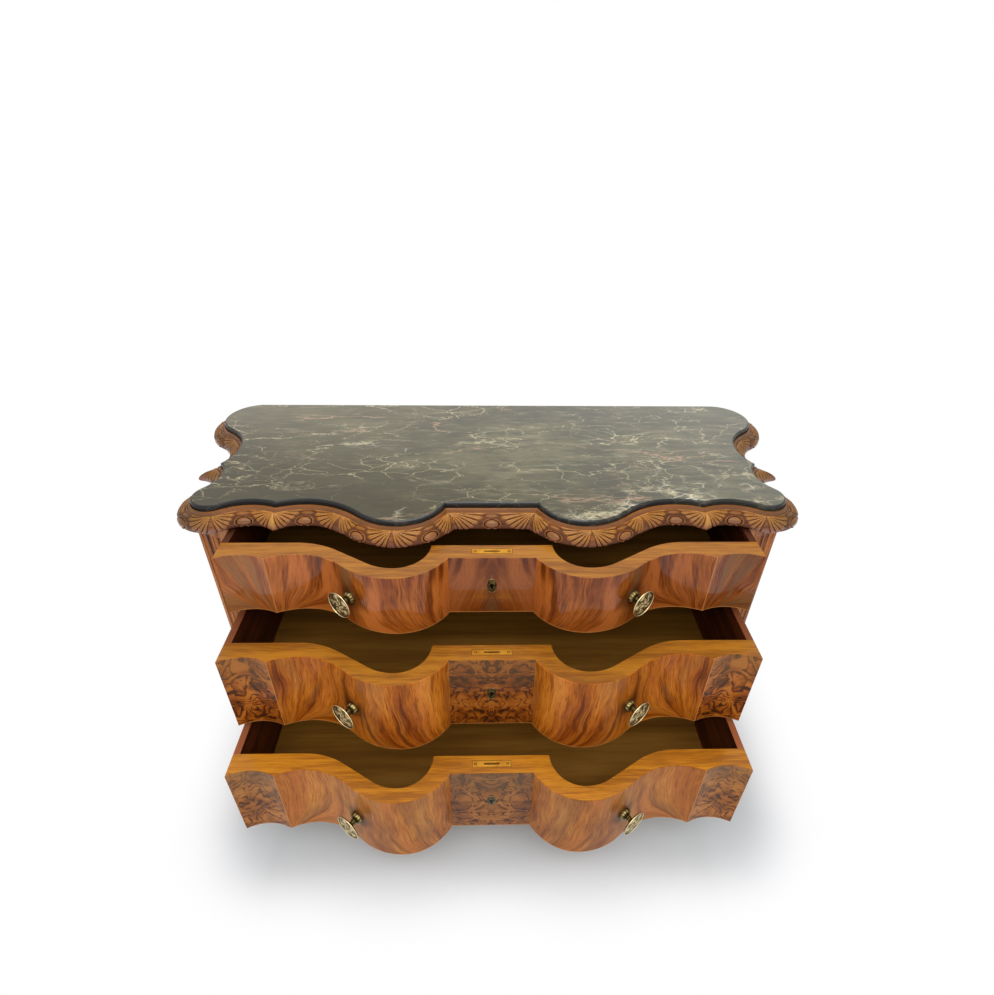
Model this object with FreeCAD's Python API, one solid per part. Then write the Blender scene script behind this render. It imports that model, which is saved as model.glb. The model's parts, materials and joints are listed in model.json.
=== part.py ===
import FreeCAD, Part
import math
import os

# Serpentine chest of three drawers with an inset stone top.
# Seen from above, the closed drawer fronts follow one line of arcs: a straight centre panel,
# a bulge on each side of it, a hollow, a pointed cusp and a shallow outer hollow.
# Rails, cornice, stone and base follow the same arcs at their own offsets.
# Millimetres. X runs along the front, -Y points to the person who opens the drawers, Z is up.
# The drawers stand open, as in use: the top one least and the bottom one most.

V = FreeCAD.Vector
UP = V(0, 0, 1)

# Plan of the drawer fronts. Outer hollow, half of the inner hollow, flank and inner side of
# the bulge are shares of half the front, and the centre panel takes the rest.
front_width = 1000.0
outer_hollow_share = 0.18
inner_hollow_half_share = 0.11
flank_share = 0.36
bulge_inner_share = 0.19
outer_hollow_depth = 10.7
inner_hollow_depth = 11.5
bulge_out = 55.0

# Plan of the corners and sides, continued from the front line. Behind the corner lobe the
# hollows and the rear lobe are shares of the case's depth.
case_depth = 440.0
corner_lobe_radius = 55.0
corner_lobe_out = 36.0
waist_share = 0.0659
side_hollow_share = 0.125
side_hollow_gap_share = 0.2409
rear_hollow_share = 0.2159
rear_lobe_share = 0.2
rear_lobe_out_share = 0.1795

# Heights from the floor up
foot_height = 110.0
base_moulding_height = 45.0
bottom_board_thickness = 20.0
bottom_drawer_height = 188.0
middle_drawer_height = 186.0
top_drawer_height = 134.0
lower_rail_gap = 22.0
upper_rail_gap = 30.0
top_gap = 3.0
sub_top_thickness = 25.6
stone_thickness = 20.0

# Clearances
running_gap = 0.3
rail_top_gap = 2.0
side_gap = 2.5
panel_gap = 0.25
stone_gap = 0.6
bolt_gap = 0.3
overrun = 2.0

# Drawers
core_depth = 46.4
centre_depth = 37.4
veneer = 1.6
bulge_wall = 28.8
inner_bulge_shift = 1.0
inner_shoulder_run = 186.0
inner_turn_ratio = 1.474
shoulder_share = 0.623
cheek_radius = 64.0
drawer_rear_gap = 14.8
drawer_side_thickness = 13.0
drawer_back_thickness = 13.0
drawer_back_drop = 6.0
drawer_bottom_thickness = 6.0
drawer_bottom_rise = 12.0
groove_depth = 6.0
top_open_share = 0.2222
middle_open_share = 0.4543
bottom_open_share = 0.6852

# Locks: a plate in the top edge, a case below it and a bolt that shoots up
lock_place_share = 0.55
lock_plate_length = 75.0
lock_plate_width = 14.0
lock_plate_thickness = 2.0
lock_case_length = 50.0
lock_case_width = 11.0
lock_case_depth = 62.0
bolt_length = 18.0
bolt_width = 4.0
bolt_height = 30.0
bolt_sink = 0.5
bolt_travel = 9.0
keyhole_radius = 2.6
keyhole_slot_width = 2.4
keyhole_slot_drop = 8.0

# Knobs and keyhole plates
knob_run_share = 0.461
rosette_radius = 13.0
rosette_thickness = 3.0
knob_stem_radius = 4.2
knob_neck_radius = 6.5
knob_stem_length = 22.0
knob_face_radius = 27.0
knob_face_thickness = 5.0
knob_dish = 1.6
knob_rim = 3.5
plate_half_width = 9.0
plate_half_height = 17.5
plate_thickness = 1.6

# Case
side_inset = 20.0
side_thickness = 22.0
post_stile = 5.0
post_face_run = 67.5
post_face_back = 24.0
flute_count = 5
flute_radius = 4.6
flute_margin = 5.0
flute_axis_out = 1.6
flute_end = 32.0
rail_inset = 2.0
rail_depth = 70.0
runner_inset = 22.0
runner_reach = 13.5
runner_thickness = 19.0
guide_gap = 1.0
guide_height = 16.0
back_post_length = 35.0
back_post_clear = 5.0
back_panel_thickness = 8.0
bottom_board_inset = 4.0

# Cornice and stone
stone_inset = 15.0
stone_bulge = 5.0
stone_edge_round = 4.0
stone_round_share = 0.3
stone_back_overhang = 7.0
cornice_out = 16.0
cornice_shoulder = 6.0
cornice_drop = 2.0
cornice_lip = 2.0
cornice_foot_out = 9.0
cornice_belly_height = 7.0
cornice_crown_height = 21.0
cornice_steps = 3
cornice_end = 390.0

# Base moulding and feet
base_wall = 42.0
base_foot_out = 9.0
base_step = 5.0
base_cove_height = 18.0
base_steps = 3
foot_sole_radius = 30.0
foot_neck_radius = 26.0
foot_neck_height = 8.0
foot_pad_radius = 34.0
foot_pad_height = 14.0
foot_steps = 6
front_foot_shift_x = 4.0
front_foot_shift_y = 8.0
back_foot_shift_x = 38.0
back_foot_shift_y = 4.0

# Lengths that follow from the sizes above
half_front = front_width / 2
outer_hollow_span = half_front * outer_hollow_share
inner_hollow_half_span = half_front * inner_hollow_half_share
flank_run = half_front * flank_share
bulge_inner_run = half_front * bulge_inner_share
knob_run = flank_run * knob_run_share
cusp_x = half_front - outer_hollow_span
outer_hollow_x = half_front - outer_hollow_span / 2
hollow_x = cusp_x - inner_hollow_half_span
bulge_x = hollow_x - flank_run
outer_hollow_radius = ((outer_hollow_span / 2) ** 2 + outer_hollow_depth ** 2) / (2 * outer_hollow_depth)
hollow_radius = (inner_hollow_half_span ** 2 + inner_hollow_depth ** 2) / (2 * inner_hollow_depth)
bulge_inner_radius = (bulge_inner_run ** 2 + bulge_out ** 2) / (2 * bulge_out)
waist_in = case_depth * waist_share
side_hollow_radius = case_depth * side_hollow_share
side_hollow_gap = case_depth * side_hollow_gap_share
rear_hollow_radius = case_depth * rear_hollow_share
rear_lobe_radius = case_depth * rear_lobe_share
rear_lobe_out = case_depth * rear_lobe_out_share
bottom_board_base = foot_height + base_moulding_height
bottom_board_top = bottom_board_base + bottom_board_thickness
bottom_drawer_base = bottom_board_top + running_gap
middle_drawer_base = bottom_drawer_base + bottom_drawer_height + lower_rail_gap
top_drawer_base = middle_drawer_base + middle_drawer_height + upper_rail_gap
case_top = top_drawer_base + top_drawer_height + top_gap
stone_base = case_top + sub_top_thickness
inner_half = half_front - drawer_side_thickness
post_inner_x = half_front + side_gap
lock_y = centre_depth * lock_place_share


# Circle geometry of the plan
def tangent_y(centre, reach, x):
    return centre.y + math.sqrt(reach ** 2 - (x - centre.x) ** 2)


OUTER_HOLLOW = V(outer_hollow_x, outer_hollow_depth - outer_hollow_radius, 0)
HOLLOW = V(hollow_x, inner_hollow_depth - hollow_radius, 0)
lobe_x = half_front + corner_lobe_out
LOBE = V(lobe_x, tangent_y(OUTER_HOLLOW, outer_hollow_radius + corner_lobe_radius, lobe_x), 0)
waist_x = lobe_x + corner_lobe_radius - waist_in
side_x = waist_x + side_hollow_radius
SIDE_HOLLOW = V(side_x, tangent_y(LOBE, corner_lobe_radius + side_hollow_radius, side_x), 0)
REAR_HOLLOW = V(waist_x + rear_hollow_radius, SIDE_HOLLOW.y + side_hollow_gap, 0)
rear_x = waist_x + rear_lobe_out - rear_lobe_radius
REAR_LOBE = V(rear_x, tangent_y(REAR_HOLLOW, rear_hollow_radius + rear_lobe_radius, rear_x), 0)
back_y = REAR_LOBE.y + rear_lobe_radius - side_inset - side_thickness
drawer_length = back_y - drawer_rear_gap
top_open = drawer_length * top_open_share
middle_open = drawer_length * middle_open_share
bottom_open = drawer_length * bottom_open_share


def meet(a, radius_a, b, radius_b, side):
    """Where two circles cross, on the side that the direction points to."""
    line = b - a
    along = (radius_a ** 2 - radius_b ** 2 + line.Length ** 2) / (2 * line.Length)
    across = math.sqrt(radius_a ** 2 - along ** 2)
    unit = V(line.x, line.y, 0).normalize()
    normal = V(-unit.y, unit.x, 0)
    if normal.dot(side) < 0:
        normal = normal.negative()
    return a + unit * along + normal * across


def towards(a, b, distance):
    """The point at a distance from a on the way to b."""
    return a + V(b.x - a.x, b.y - a.y, 0).normalize() * distance


def arc(start, end, centre, bend=None):
    """A round stretch, written with the point half way along it."""
    radius = (start - centre).Length
    way = bend if bend else (start + end) * 0.5 - centre
    return ("arc", start, centre + V(way.x, way.y, 0).normalize() * radius, end)


def mirrored(run):
    """The same stretch on the other half of the plan, run the other way."""
    flip = [V(-point.x, point.y, 0) for point in run[1:]]
    return (run[0],) + tuple(reversed(flip))


def edge(run):
    if run[0] == "arc":
        return Part.Arc(run[1], run[2], run[3]).toShape()
    return Part.makeLine(run[1], run[2])


def face_of(runs):
    return Part.Face(Part.Wire([edge(run) for run in runs]))


def lifted(shape, height):
    moved = shape.copy()
    moved.translate(V(0, 0, height))
    return moved


def slab(runs, low, high):
    return lifted(face_of(runs), low).extrude(UP * (high - low))


def box(x0, x1, y0, y1, z0, z1):
    return Part.makeBox(x1 - x0, y1 - y0, z1 - z0, V(x0, y0, z0))


def largest(shape):
    """The biggest of the solids that a cut leaves."""
    return max(shape.Solids, key=lambda solid: solid.Volume)


def both_sides(shape):
    """The shape and its mirror image, as two separate solids."""
    return Part.makeCompound([shape.mirror(V(0, 0, 0), V(1, 0, 0)), shape])


# Plan lines at an offset: positive stands out of the drawer fronts, negative lies behind them
def front_half(out, bulge_more=0.0):
    """Named points and round stretches from the centre panel to the outer hollow."""
    cheek_radius_here = bulge_inner_radius + out
    lowest = V(bulge_x, -bulge_out - out - bulge_more, 0)
    cheek = V(bulge_x, lowest.y + cheek_radius_here, 0)
    panel_x = bulge_x - math.sqrt(cheek_radius_here ** 2 - (cheek.y + out) ** 2)
    panel = V(panel_x, -out, 0)
    hollow_here = hollow_radius - out
    crest = V(hollow_x, inner_hollow_depth - out, 0)
    turn = 2 * math.atan2(crest.y - lowest.y, flank_run)
    flank_radius = flank_run / math.sin(turn) - hollow_here
    inflection = HOLLOW + V(-math.sin(turn), math.cos(turn), 0) * hollow_here
    flank = V(bulge_x, lowest.y + flank_radius, 0)
    cusp = meet(HOLLOW, hollow_here, OUTER_HOLLOW, outer_hollow_radius - out, V(0, 1, 0))
    runs = [
        arc(panel, lowest, cheek),
        arc(lowest, inflection, flank),
        arc(inflection, cusp, HOLLOW),
    ]
    return panel, cusp, runs


def outer_hollow_at(x, out):
    """The point of the outer hollow at a given place along the front."""
    radius = outer_hollow_radius - out
    return V(x, OUTER_HOLLOW.y + math.sqrt(radius ** 2 - (x - OUTER_HOLLOW.x) ** 2), 0)


def around_half(out, back, bulge_more=0.0):
    """Round stretches from the centre panel to the back edge, on the right-hand side."""
    panel, cusp, runs = front_half(out, bulge_more)
    lobe_radius = corner_lobe_radius + out
    rear_radius = rear_lobe_radius + out
    lobe_start = towards(LOBE, OUTER_HOLLOW, lobe_radius)
    lobe_end = towards(LOBE, SIDE_HOLLOW, lobe_radius)
    side_reach = side_hollow_radius - out
    rear_reach = rear_hollow_radius - out
    side_cusp = meet(SIDE_HOLLOW, side_reach, REAR_HOLLOW, rear_reach, V(-1, 0, 0))
    rear_start = towards(REAR_LOBE, REAR_HOLLOW, rear_radius)
    rise = min(back - REAR_LOBE.y, rear_radius)
    rear_end = REAR_LOBE + V(math.sqrt(rear_radius ** 2 - rise ** 2), rise, 0)
    runs = runs + [
        arc(cusp, lobe_start, OUTER_HOLLOW),
        arc(lobe_start, lobe_end, LOBE, V(1, -1, 0)),
        arc(lobe_end, side_cusp, SIDE_HOLLOW),
        arc(side_cusp, rear_start, REAR_HOLLOW),
        arc(rear_start, rear_end, REAR_LOBE, V(1, 0, 0)),
    ]
    return panel, rear_end, runs


def outline(out, back=case_depth, bulge_more=0.0):
    """The whole plan of the chest at an offset, as one closed line."""
    panel, rear_end, runs = around_half(out, back, bulge_more)
    centre = ("line", V(-panel.x, panel.y, 0), panel)
    rear = ("line", rear_end, V(-rear_end.x, rear_end.y, 0))
    return [centre] + runs + [rear] + [mirrored(run) for run in reversed(runs)]


def stacked(levels, back=case_depth, bulge_more=0.0):
    """A moulding's body: the plan lifted through pairs of offset and height."""
    wires = []
    for out, height in levels:
        plan = Part.Wire([edge(run) for run in outline(out, back, bulge_more)])
        wires.append(lifted(plan, height))
    return Part.makeLoft(wires, True, True)


def front_line(end_x, out):
    """The whole front line between two ends, from left to right."""
    panel, cusp, runs = front_half(out)
    runs = runs + [arc(cusp, outer_hollow_at(end_x, out), OUTER_HOLLOW)]
    centre = ("line", V(-panel.x, panel.y, 0), panel)
    return [mirrored(run) for run in reversed(runs)] + [centre] + runs


def inner_line(end_x, inwards):
    """The back of a drawer front between two ends, from right to left, sunk by a depth."""
    y = core_depth - inwards
    low = V(bulge_x + inner_bulge_shift, bulge_wall - bulge_out - inwards, 0)
    radius = cheek_radius + inwards
    cheek = V(low.x, low.y + radius, 0)
    corner_y = centre_depth - inwards
    corner = V(cheek.x - math.sqrt(radius ** 2 - (cheek.y - corner_y) ** 2), corner_y, 0)
    rise = y - low.y
    turn = inner_turn_ratio * math.atan2(rise, inner_shoulder_run)
    bend = inner_shoulder_run * math.sin(turn) - rise * math.cos(turn)
    reach = bend / (1 - math.cos(turn))
    shoulder_radius = reach * shoulder_share - inwards
    flank_radius = reach - shoulder_radius
    start = V(low.x + inner_shoulder_run, y, 0)
    shoulder = V(start.x, y - shoulder_radius, 0)
    flank = V(low.x, low.y + flank_radius, 0)
    across = V(-math.sin(turn), math.cos(turn), 0)
    leave = shoulder + across * shoulder_radius
    join = flank - across * flank_radius
    runs = [
        ("line", V(end_x, y, 0), start),
        arc(start, leave, shoulder),
        ("line", leave, join),
        arc(join, low, flank),
        arc(low, corner, cheek),
        ("line", corner, V(-corner.x, corner_y, 0)),
    ]
    return runs + [mirrored(run) for run in reversed(runs[:-1])]


# Stone and cornice
def make_marble_top():
    """A polished slab whose upper edge is eased in two facets, let into the cornice."""
    top = stone_base + stone_thickness
    near = stone_edge_round * stone_round_share
    levels = [
        (-stone_inset, stone_base),
        (-stone_inset, top - stone_edge_round),
        (-stone_inset - near, top - near),
        (-stone_inset - stone_edge_round, top),
    ]
    return stacked(levels, case_depth + stone_back_overhang, stone_bulge)


def cornice_levels():
    """An ovolo on a small belly, closed by a narrow lip beside the stone."""
    low = case_top + cornice_drop
    belly = low + cornice_belly_height
    levels = [(cornice_foot_out, low)]
    levels.append(((cornice_foot_out + cornice_out * 2) / 3, low + cornice_belly_height / 3))
    width = cornice_out + cornice_shoulder
    for step in range(cornice_steps + 1):
        angle = math.pi / 2 * step / cornice_steps
        out = -cornice_shoulder + width * math.cos(angle)
        levels.append((out, belly + cornice_crown_height * math.sin(angle)))
    return levels


def make_cornice():
    """The front length, with its two round corners, and a length for each side."""
    levels = cornice_levels()
    crown = levels[-1][1]
    ring = stacked(levels)
    lip_out = -cornice_shoulder - cornice_lip
    ring = ring.fuse(slab(outline(lip_out), crown - cornice_lip, crown + cornice_lip))
    hole = slab(
        outline(stone_gap - stone_inset, case_depth + overrun, stone_bulge),
        case_top, crown + cornice_lip + overrun,
    )
    ring = ring.cut(hole)
    reach = front_width
    low = case_top
    high = crown + cornice_lip + overrun
    front = ring.common(box(-reach, reach, -reach, LOBE.y, low, high))
    right = ring.common(box(0, reach, LOBE.y, cornice_end, low, high))
    return front, both_sides(right)


def make_sub_top():
    """The board under the stone, with a mortise for the top drawer's bolt."""
    board = slab(outline(stone_gap - stone_inset, case_depth, stone_bulge), case_top, stone_base)
    return board.cut(bolt_mortise(case_top))


# Case
def make_side():
    """A shaped side, from the front post to the back, in one thickness."""
    shell = slab(outline(-side_inset), bottom_board_top, case_top)
    inside = outline(-side_inset - side_thickness)
    shell = shell.cut(slab(inside, bottom_board_top - overrun, case_top + overrun))
    side = shell.common(box(half_front, front_width, LOBE.y, case_depth, 0, case_top))
    strip = box(0, REAR_LOBE.x, REAR_LOBE.y, case_depth + overrun, 0, case_top + overrun)
    return largest(side.cut(strip))


def make_front_post():
    """A canted corner post with a row of stopped flutes on its face."""
    inner = V(post_inner_x, 0, 0)
    stile = inner + V(post_stile, 0, 0)
    nose = stile + V(post_face_run, post_face_back, 0)
    outer = V(LOBE.x + corner_lobe_radius - side_inset, LOBE.y, 0)
    foot = V(post_inner_x, LOBE.y, 0)
    corners = [inner, stile, nose, outer, foot, inner]
    face = Part.Face(Part.makePolygon(corners))
    post = lifted(face, bottom_board_top).extrude(UP * (case_top - bottom_board_top))
    run = nose - stile
    pitch = (run.Length - 2 * flute_margin) / flute_count
    unit = V(run.x, run.y, 0).normalize()
    axis_start = stile + V(unit.y, -unit.x, 0) * flute_axis_out
    low = bottom_board_top + flute_end
    high = case_top - flute_end
    for index in range(flute_count):
        at = axis_start + unit * (flute_margin + pitch * (index + 0.5))
        post = post.cut(Part.makeCylinder(flute_radius, high - low, V(at.x, at.y, low), UP))
    return post


def make_back_post():
    """A corner block behind the drawers, shaped to the inside of its side."""
    inside = outline(-side_inset - side_thickness)
    blank = box(
        half_front + back_post_clear, front_width, back_y - back_post_length, back_y,
        bottom_board_top, case_top,
    )
    return blank.common(slab(inside, bottom_board_top, case_top))


def make_back_panel():
    return box(
        -REAR_LOBE.x, REAR_LOBE.x, back_y, back_y + back_panel_thickness,
        bottom_board_top, case_top,
    )


def make_rail(drawer_above_base, gap):
    """A serpentine rail between two drawers, with a mortise for the bolt below it."""
    top = drawer_above_base - running_gap
    low = drawer_above_base - gap + rail_top_gap
    front = front_line(post_inner_x, -rail_inset)
    start = front[0][1]
    end = front[-1][-1]
    right = V(end.x, rail_depth, 0)
    left = V(start.x, rail_depth, 0)
    runs = front + [("line", end, right), ("line", right, left), ("line", left, start)]
    return slab(runs, low, top).cut(bolt_mortise(low))


def make_runners(drawer_base):
    """Two runners that carry a drawer's sides, each with a guide strip beside the drawer."""
    top = drawer_base - running_gap
    back = back_y - back_post_length
    bed = box(
        half_front - runner_inset, half_front + runner_reach, rail_depth, back,
        top - runner_thickness, top,
    )
    guide = box(
        half_front + guide_gap, half_front + runner_reach, rail_depth, back,
        top, top + guide_height,
    )
    return both_sides(bed.fuse(guide).removeSplitter())


def make_bottom_guides():
    """Guide strips on the bottom board, beside the bottom drawer."""
    back = back_y - back_post_length
    strip = box(
        half_front + guide_gap, half_front + runner_reach, LOBE.y, back,
        bottom_board_top, bottom_board_top + guide_height,
    )
    return both_sides(strip)


def make_bottom_board():
    return slab(outline(-bottom_board_inset), bottom_board_base, bottom_board_top)


def bolt_mortise(base):
    """The slot that a raised bolt enters, cut upwards from a lower face."""
    half = bolt_length / 2 + bolt_gap + bolt_gap
    across = bolt_width / 2 + bolt_gap + bolt_gap
    return box(-half, half, lock_y - across, lock_y + across, base - overrun, base + bolt_travel)


# Base moulding and feet
def base_levels():
    """A small step at the top, then a cove that runs out to a flat foot."""
    top = bottom_board_base
    levels = [(base_foot_out, foot_height)]
    width = base_foot_out + bottom_board_inset
    low = top - base_step - base_cove_height
    for step in range(base_steps + 1):
        angle = math.pi / 2 * step / base_steps
        out = base_foot_out - width * math.sin(angle)
        levels.append((out, low + base_cove_height * (1 - math.cos(angle))))
    levels.append((-bottom_board_inset, top))
    return levels


def make_base_moulding():
    """Front, sides and back rail of the base, as four separate lengths."""
    ring = stacked(base_levels())
    hole = slab(outline(-base_wall), foot_height - overrun, bottom_board_base + overrun)
    ring = ring.cut(hole)
    reach = front_width
    low = 0
    high = bottom_board_base
    back = REAR_LOBE.y + rear_lobe_radius - base_wall
    front = ring.common(box(-reach, reach, -reach, LOBE.y, low, high))
    right = ring.common(box(0, reach, LOBE.y, case_depth, low, high))
    strip = box(0, REAR_LOBE.x, REAR_LOBE.y, case_depth + overrun, low, high + overrun)
    right = largest(right.cut(strip))
    rail = box(-REAR_LOBE.x, REAR_LOBE.x, back, case_depth, foot_height, high)
    left = right.mirror(V(0, 0, 0), V(1, 0, 0))
    return Part.makeCompound([front, left, right, rail])


def make_foot(place):
    """A ball foot turned in facets, with a flat sole, a neck and a pad under the base."""
    pad_z = foot_height - foot_pad_height
    ball_z = pad_z - foot_neck_height
    ball_radius = math.sqrt(foot_sole_radius ** 2 + (ball_z / 2) ** 2)
    profile = [V(0, 0, 0)]
    spread = math.asin(ball_z / 2 / ball_radius)
    for step in range(foot_steps + 1):
        angle = spread * (2 * step / foot_steps - 1)
        profile.append(V(ball_radius * math.cos(angle), 0, ball_z / 2 + ball_radius * math.sin(angle)))
    profile += [
        V(foot_neck_radius, 0, pad_z),
        V(foot_pad_radius, 0, pad_z),
        V(foot_pad_radius, 0, foot_height),
        V(0, 0, foot_height),
        V(0, 0, 0),
    ]
    foot = Part.Face(Part.makePolygon(profile)).revolve(V(0, 0, 0), UP, 360)
    foot.translate(place)
    return foot


# Drawers
def make_core(base, height):
    """The solid wood of a drawer front, with a groove, a lock mortise and a keyhole."""
    end_x = half_front
    front = front_line(end_x, -veneer)
    back = inner_line(end_x, 0)
    right = ("line", front[-1][-1], back[0][1])
    left = ("line", back[-1][-1], front[0][1])
    core = slab(front + [right] + back + [left], base, base + height)
    core = core.cut(bottom_blank(base, panel_gap))
    core = core.cut(lock_body(base + height))
    return core.cut(keyhole(0, base + height / 2, lock_y))


def bottom_blank(base, gap):
    """The drawer bottom with its tongues, or with a gap the groove that takes them."""
    tongue = groove_depth - panel_gap + gap
    side = inner_half + tongue
    front = inner_line(side, tongue)
    back_y = drawer_length + gap
    right = ("line", V(side, back_y, 0), front[0][1])
    left_end = front[-1][-1]
    left = ("line", left_end, V(left_end.x, back_y, 0))
    rear = ("line", V(left_end.x, back_y, 0), V(side, back_y, 0))
    low = base + drawer_bottom_rise
    return slab(front + [left, rear, right], low - gap, low + drawer_bottom_thickness + gap)


def make_drawer_side(base, height, sign):
    """One side of a drawer, behind its front, grooved for the bottom."""
    outer = sign * half_front
    inner = sign * inner_half
    board = box(min(outer, inner), max(outer, inner), core_depth, drawer_length, base, base + height)
    return board.cut(bottom_blank(base, panel_gap))


def make_drawer_back(base, height):
    low = base + drawer_bottom_rise + drawer_bottom_thickness
    return box(
        -inner_half, inner_half, drawer_length - drawer_back_thickness, drawer_length,
        low, base + height - drawer_back_drop,
    )


def make_drawer_bottom(base):
    return bottom_blank(base, 0)


def veneer_piece(start_runs, back_runs, base, height):
    """A thin skin between a stretch of the face and the same stretch of the core."""
    outer_end = start_runs[-1][-1]
    outer_start = start_runs[0][1]
    inner = [mirror_back(run) for run in reversed(back_runs)]
    close_a = ("line", outer_end, inner[0][1])
    close_b = ("line", inner[-1][-1], outer_start)
    return slab(start_runs + [close_a] + inner + [close_b], base, base + height)


def mirror_back(run):
    """The same stretch, run the other way."""
    return (run[0],) + tuple(reversed(run[1:]))


def make_end_veneers(base, height):
    """The outer hollows, from the ends of the front to the cusps."""
    lines = []
    for out in (0, -veneer):
        cusp = front_half(out)[1]
        lines.append([arc(cusp, outer_hollow_at(half_front, out), OUTER_HOLLOW)])
    return both_sides(veneer_piece(lines[0], lines[1], base, height))


def make_flank_veneers(base, height):
    """The hollows and bulges, from the cusps to the centre panel."""
    face = front_half(0)[2]
    core = front_half(-veneer)[2]
    return both_sides(veneer_piece(face, core, base, height))


def make_centre_veneer(base, height):
    lines = []
    for out in (0, -veneer):
        panel = front_half(out)[0]
        lines.append([("line", V(-panel.x, panel.y, 0), panel)])
    piece = veneer_piece(lines[0], lines[1], base, height)
    return piece.cut(keyhole(-veneer, base + height / 2, veneer + overrun))


# Locks, keyhole plates and knobs
def lock_body(top):
    """A plate let into the top edge with its case below."""
    half = lock_plate_length / 2
    across = lock_plate_width / 2
    plate = box(-half, half, lock_y - across, lock_y + across, top - lock_plate_thickness, top)
    half = lock_case_length / 2
    across = lock_case_width / 2
    deep = top - lock_case_depth
    case = box(-half, half, lock_y - across, lock_y + across, deep, top - lock_plate_thickness)
    return plate.fuse(case).removeSplitter()


def make_lock(top, key_z):
    """The lock with the channel for its bolt and the hole for its key."""
    half = bolt_length / 2 + bolt_gap
    across = bolt_width / 2 + bolt_gap
    low = top - bolt_sink - bolt_height
    channel = box(-half, half, lock_y - across, lock_y + across, low, top + overrun)
    body = lock_body(top).cut(channel)
    return body.cut(keyhole(0, key_z, lock_y))


def make_bolt(top):
    half = bolt_length / 2
    across = bolt_width / 2
    high = top - bolt_sink
    return box(-half, half, lock_y - across, lock_y + across, high - bolt_height + running_gap, high)


def keyhole(start_y, z, depth):
    """A round hole over a narrow slot, running back from the face."""
    along = V(0, 1, 0)
    hole = Part.makeCylinder(keyhole_radius, depth, V(0, start_y, z), along)
    half = keyhole_slot_width / 2
    slot = box(-half, half, start_y, start_y + depth, z - keyhole_slot_drop, z)
    return hole.fuse(slot)


def make_escutcheon(z):
    """An upright oval plate with the keyhole through it."""
    oval = Part.Ellipse(V(0, 0, plate_half_height), V(plate_half_width, 0, 0), V(0, 0, 0)).toShape()
    plate = Part.Face(Part.Wire([oval])).extrude(V(0, -plate_thickness, 0))
    plate.translate(V(0, 0, z))
    return plate.cut(keyhole(-plate_thickness - overrun, z, plate_thickness + overrun + overrun))


def flank_point():
    """Where a knob stands on the flank, and the way that it points."""
    turn = 2 * math.atan2(inner_hollow_depth + bulge_out, flank_run)
    radius = flank_run / math.sin(turn) - hollow_radius
    centre = V(bulge_x, radius - bulge_out, 0)
    x = bulge_x + knob_run
    at = V(x, centre.y - math.sqrt(radius ** 2 - knob_run ** 2), 0)
    return at, V(at.x - centre.x, at.y - centre.y, 0).normalize()


def knob_profile():
    """Half the outline of a turned knob: rosette, stem, neck and dished face."""
    sunk = -rosette_thickness
    neck = rosette_thickness + knob_stem_length
    face = neck + knob_face_thickness
    edge_z = neck + knob_face_thickness / 2
    rim = knob_face_radius - knob_rim
    stem_mid = rosette_thickness + knob_stem_length / 2
    return Part.Face(Part.makePolygon([
        V(0, 0, sunk),
        V(rosette_radius, 0, sunk),
        V(rosette_radius, 0, rosette_thickness / 2),
        V(knob_neck_radius, 0, rosette_thickness),
        V(knob_stem_radius, 0, stem_mid),
        V(knob_neck_radius, 0, neck),
        V(rim, 0, neck),
        V(knob_face_radius, 0, edge_z),
        V(rim, 0, face),
        V(rim - knob_rim, 0, face - knob_dish),
        V(0, 0, face - knob_dish),
        V(0, 0, sunk),
    ]))


def make_knobs(base, height):
    """A pair of knobs, square to the flanks and cut to seat on them."""
    at, way = flank_point()
    knob = knob_profile().revolve(V(0, 0, 0), UP, 360)
    knob.Placement = FreeCAD.Placement(at, FreeCAD.Rotation(UP, way))
    knob.translate(V(0, 0, base + height / 2))
    front = front_line(half_front, 0)
    ends = [V(half_front, core_depth, 0), V(-half_front, core_depth, 0)]
    runs = front + [
        ("line", front[-1][-1], ends[0]), ("line", ends[0], ends[1]), ("line", ends[1], front[0][1]),
    ]
    return both_sides(knob.cut(slab(runs, base, base + height)))


def make_drawer(name, base, height):
    """Every piece of one drawer, in its closed place."""
    top = base + height
    middle = base + height / 2
    return {
        name + "_drawer_front": make_core(base, height),
        name + "_drawer_end_veneers": make_end_veneers(base, height),
        name + "_drawer_flank_veneers": make_flank_veneers(base, height),
        name + "_drawer_centre_veneer": make_centre_veneer(base, height),
        name + "_drawer_left_side": make_drawer_side(base, height, -1),
        name + "_drawer_right_side": make_drawer_side(base, height, 1),
        name + "_drawer_back": make_drawer_back(base, height),
        name + "_drawer_bottom": make_drawer_bottom(base),
        name + "_drawer_lock": make_lock(top, middle),
        name + "_drawer_bolt": make_bolt(top),
        name + "_drawer_escutcheon": make_escutcheon(middle),
        name + "_drawer_knobs": make_knobs(base, height),
    }


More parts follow.
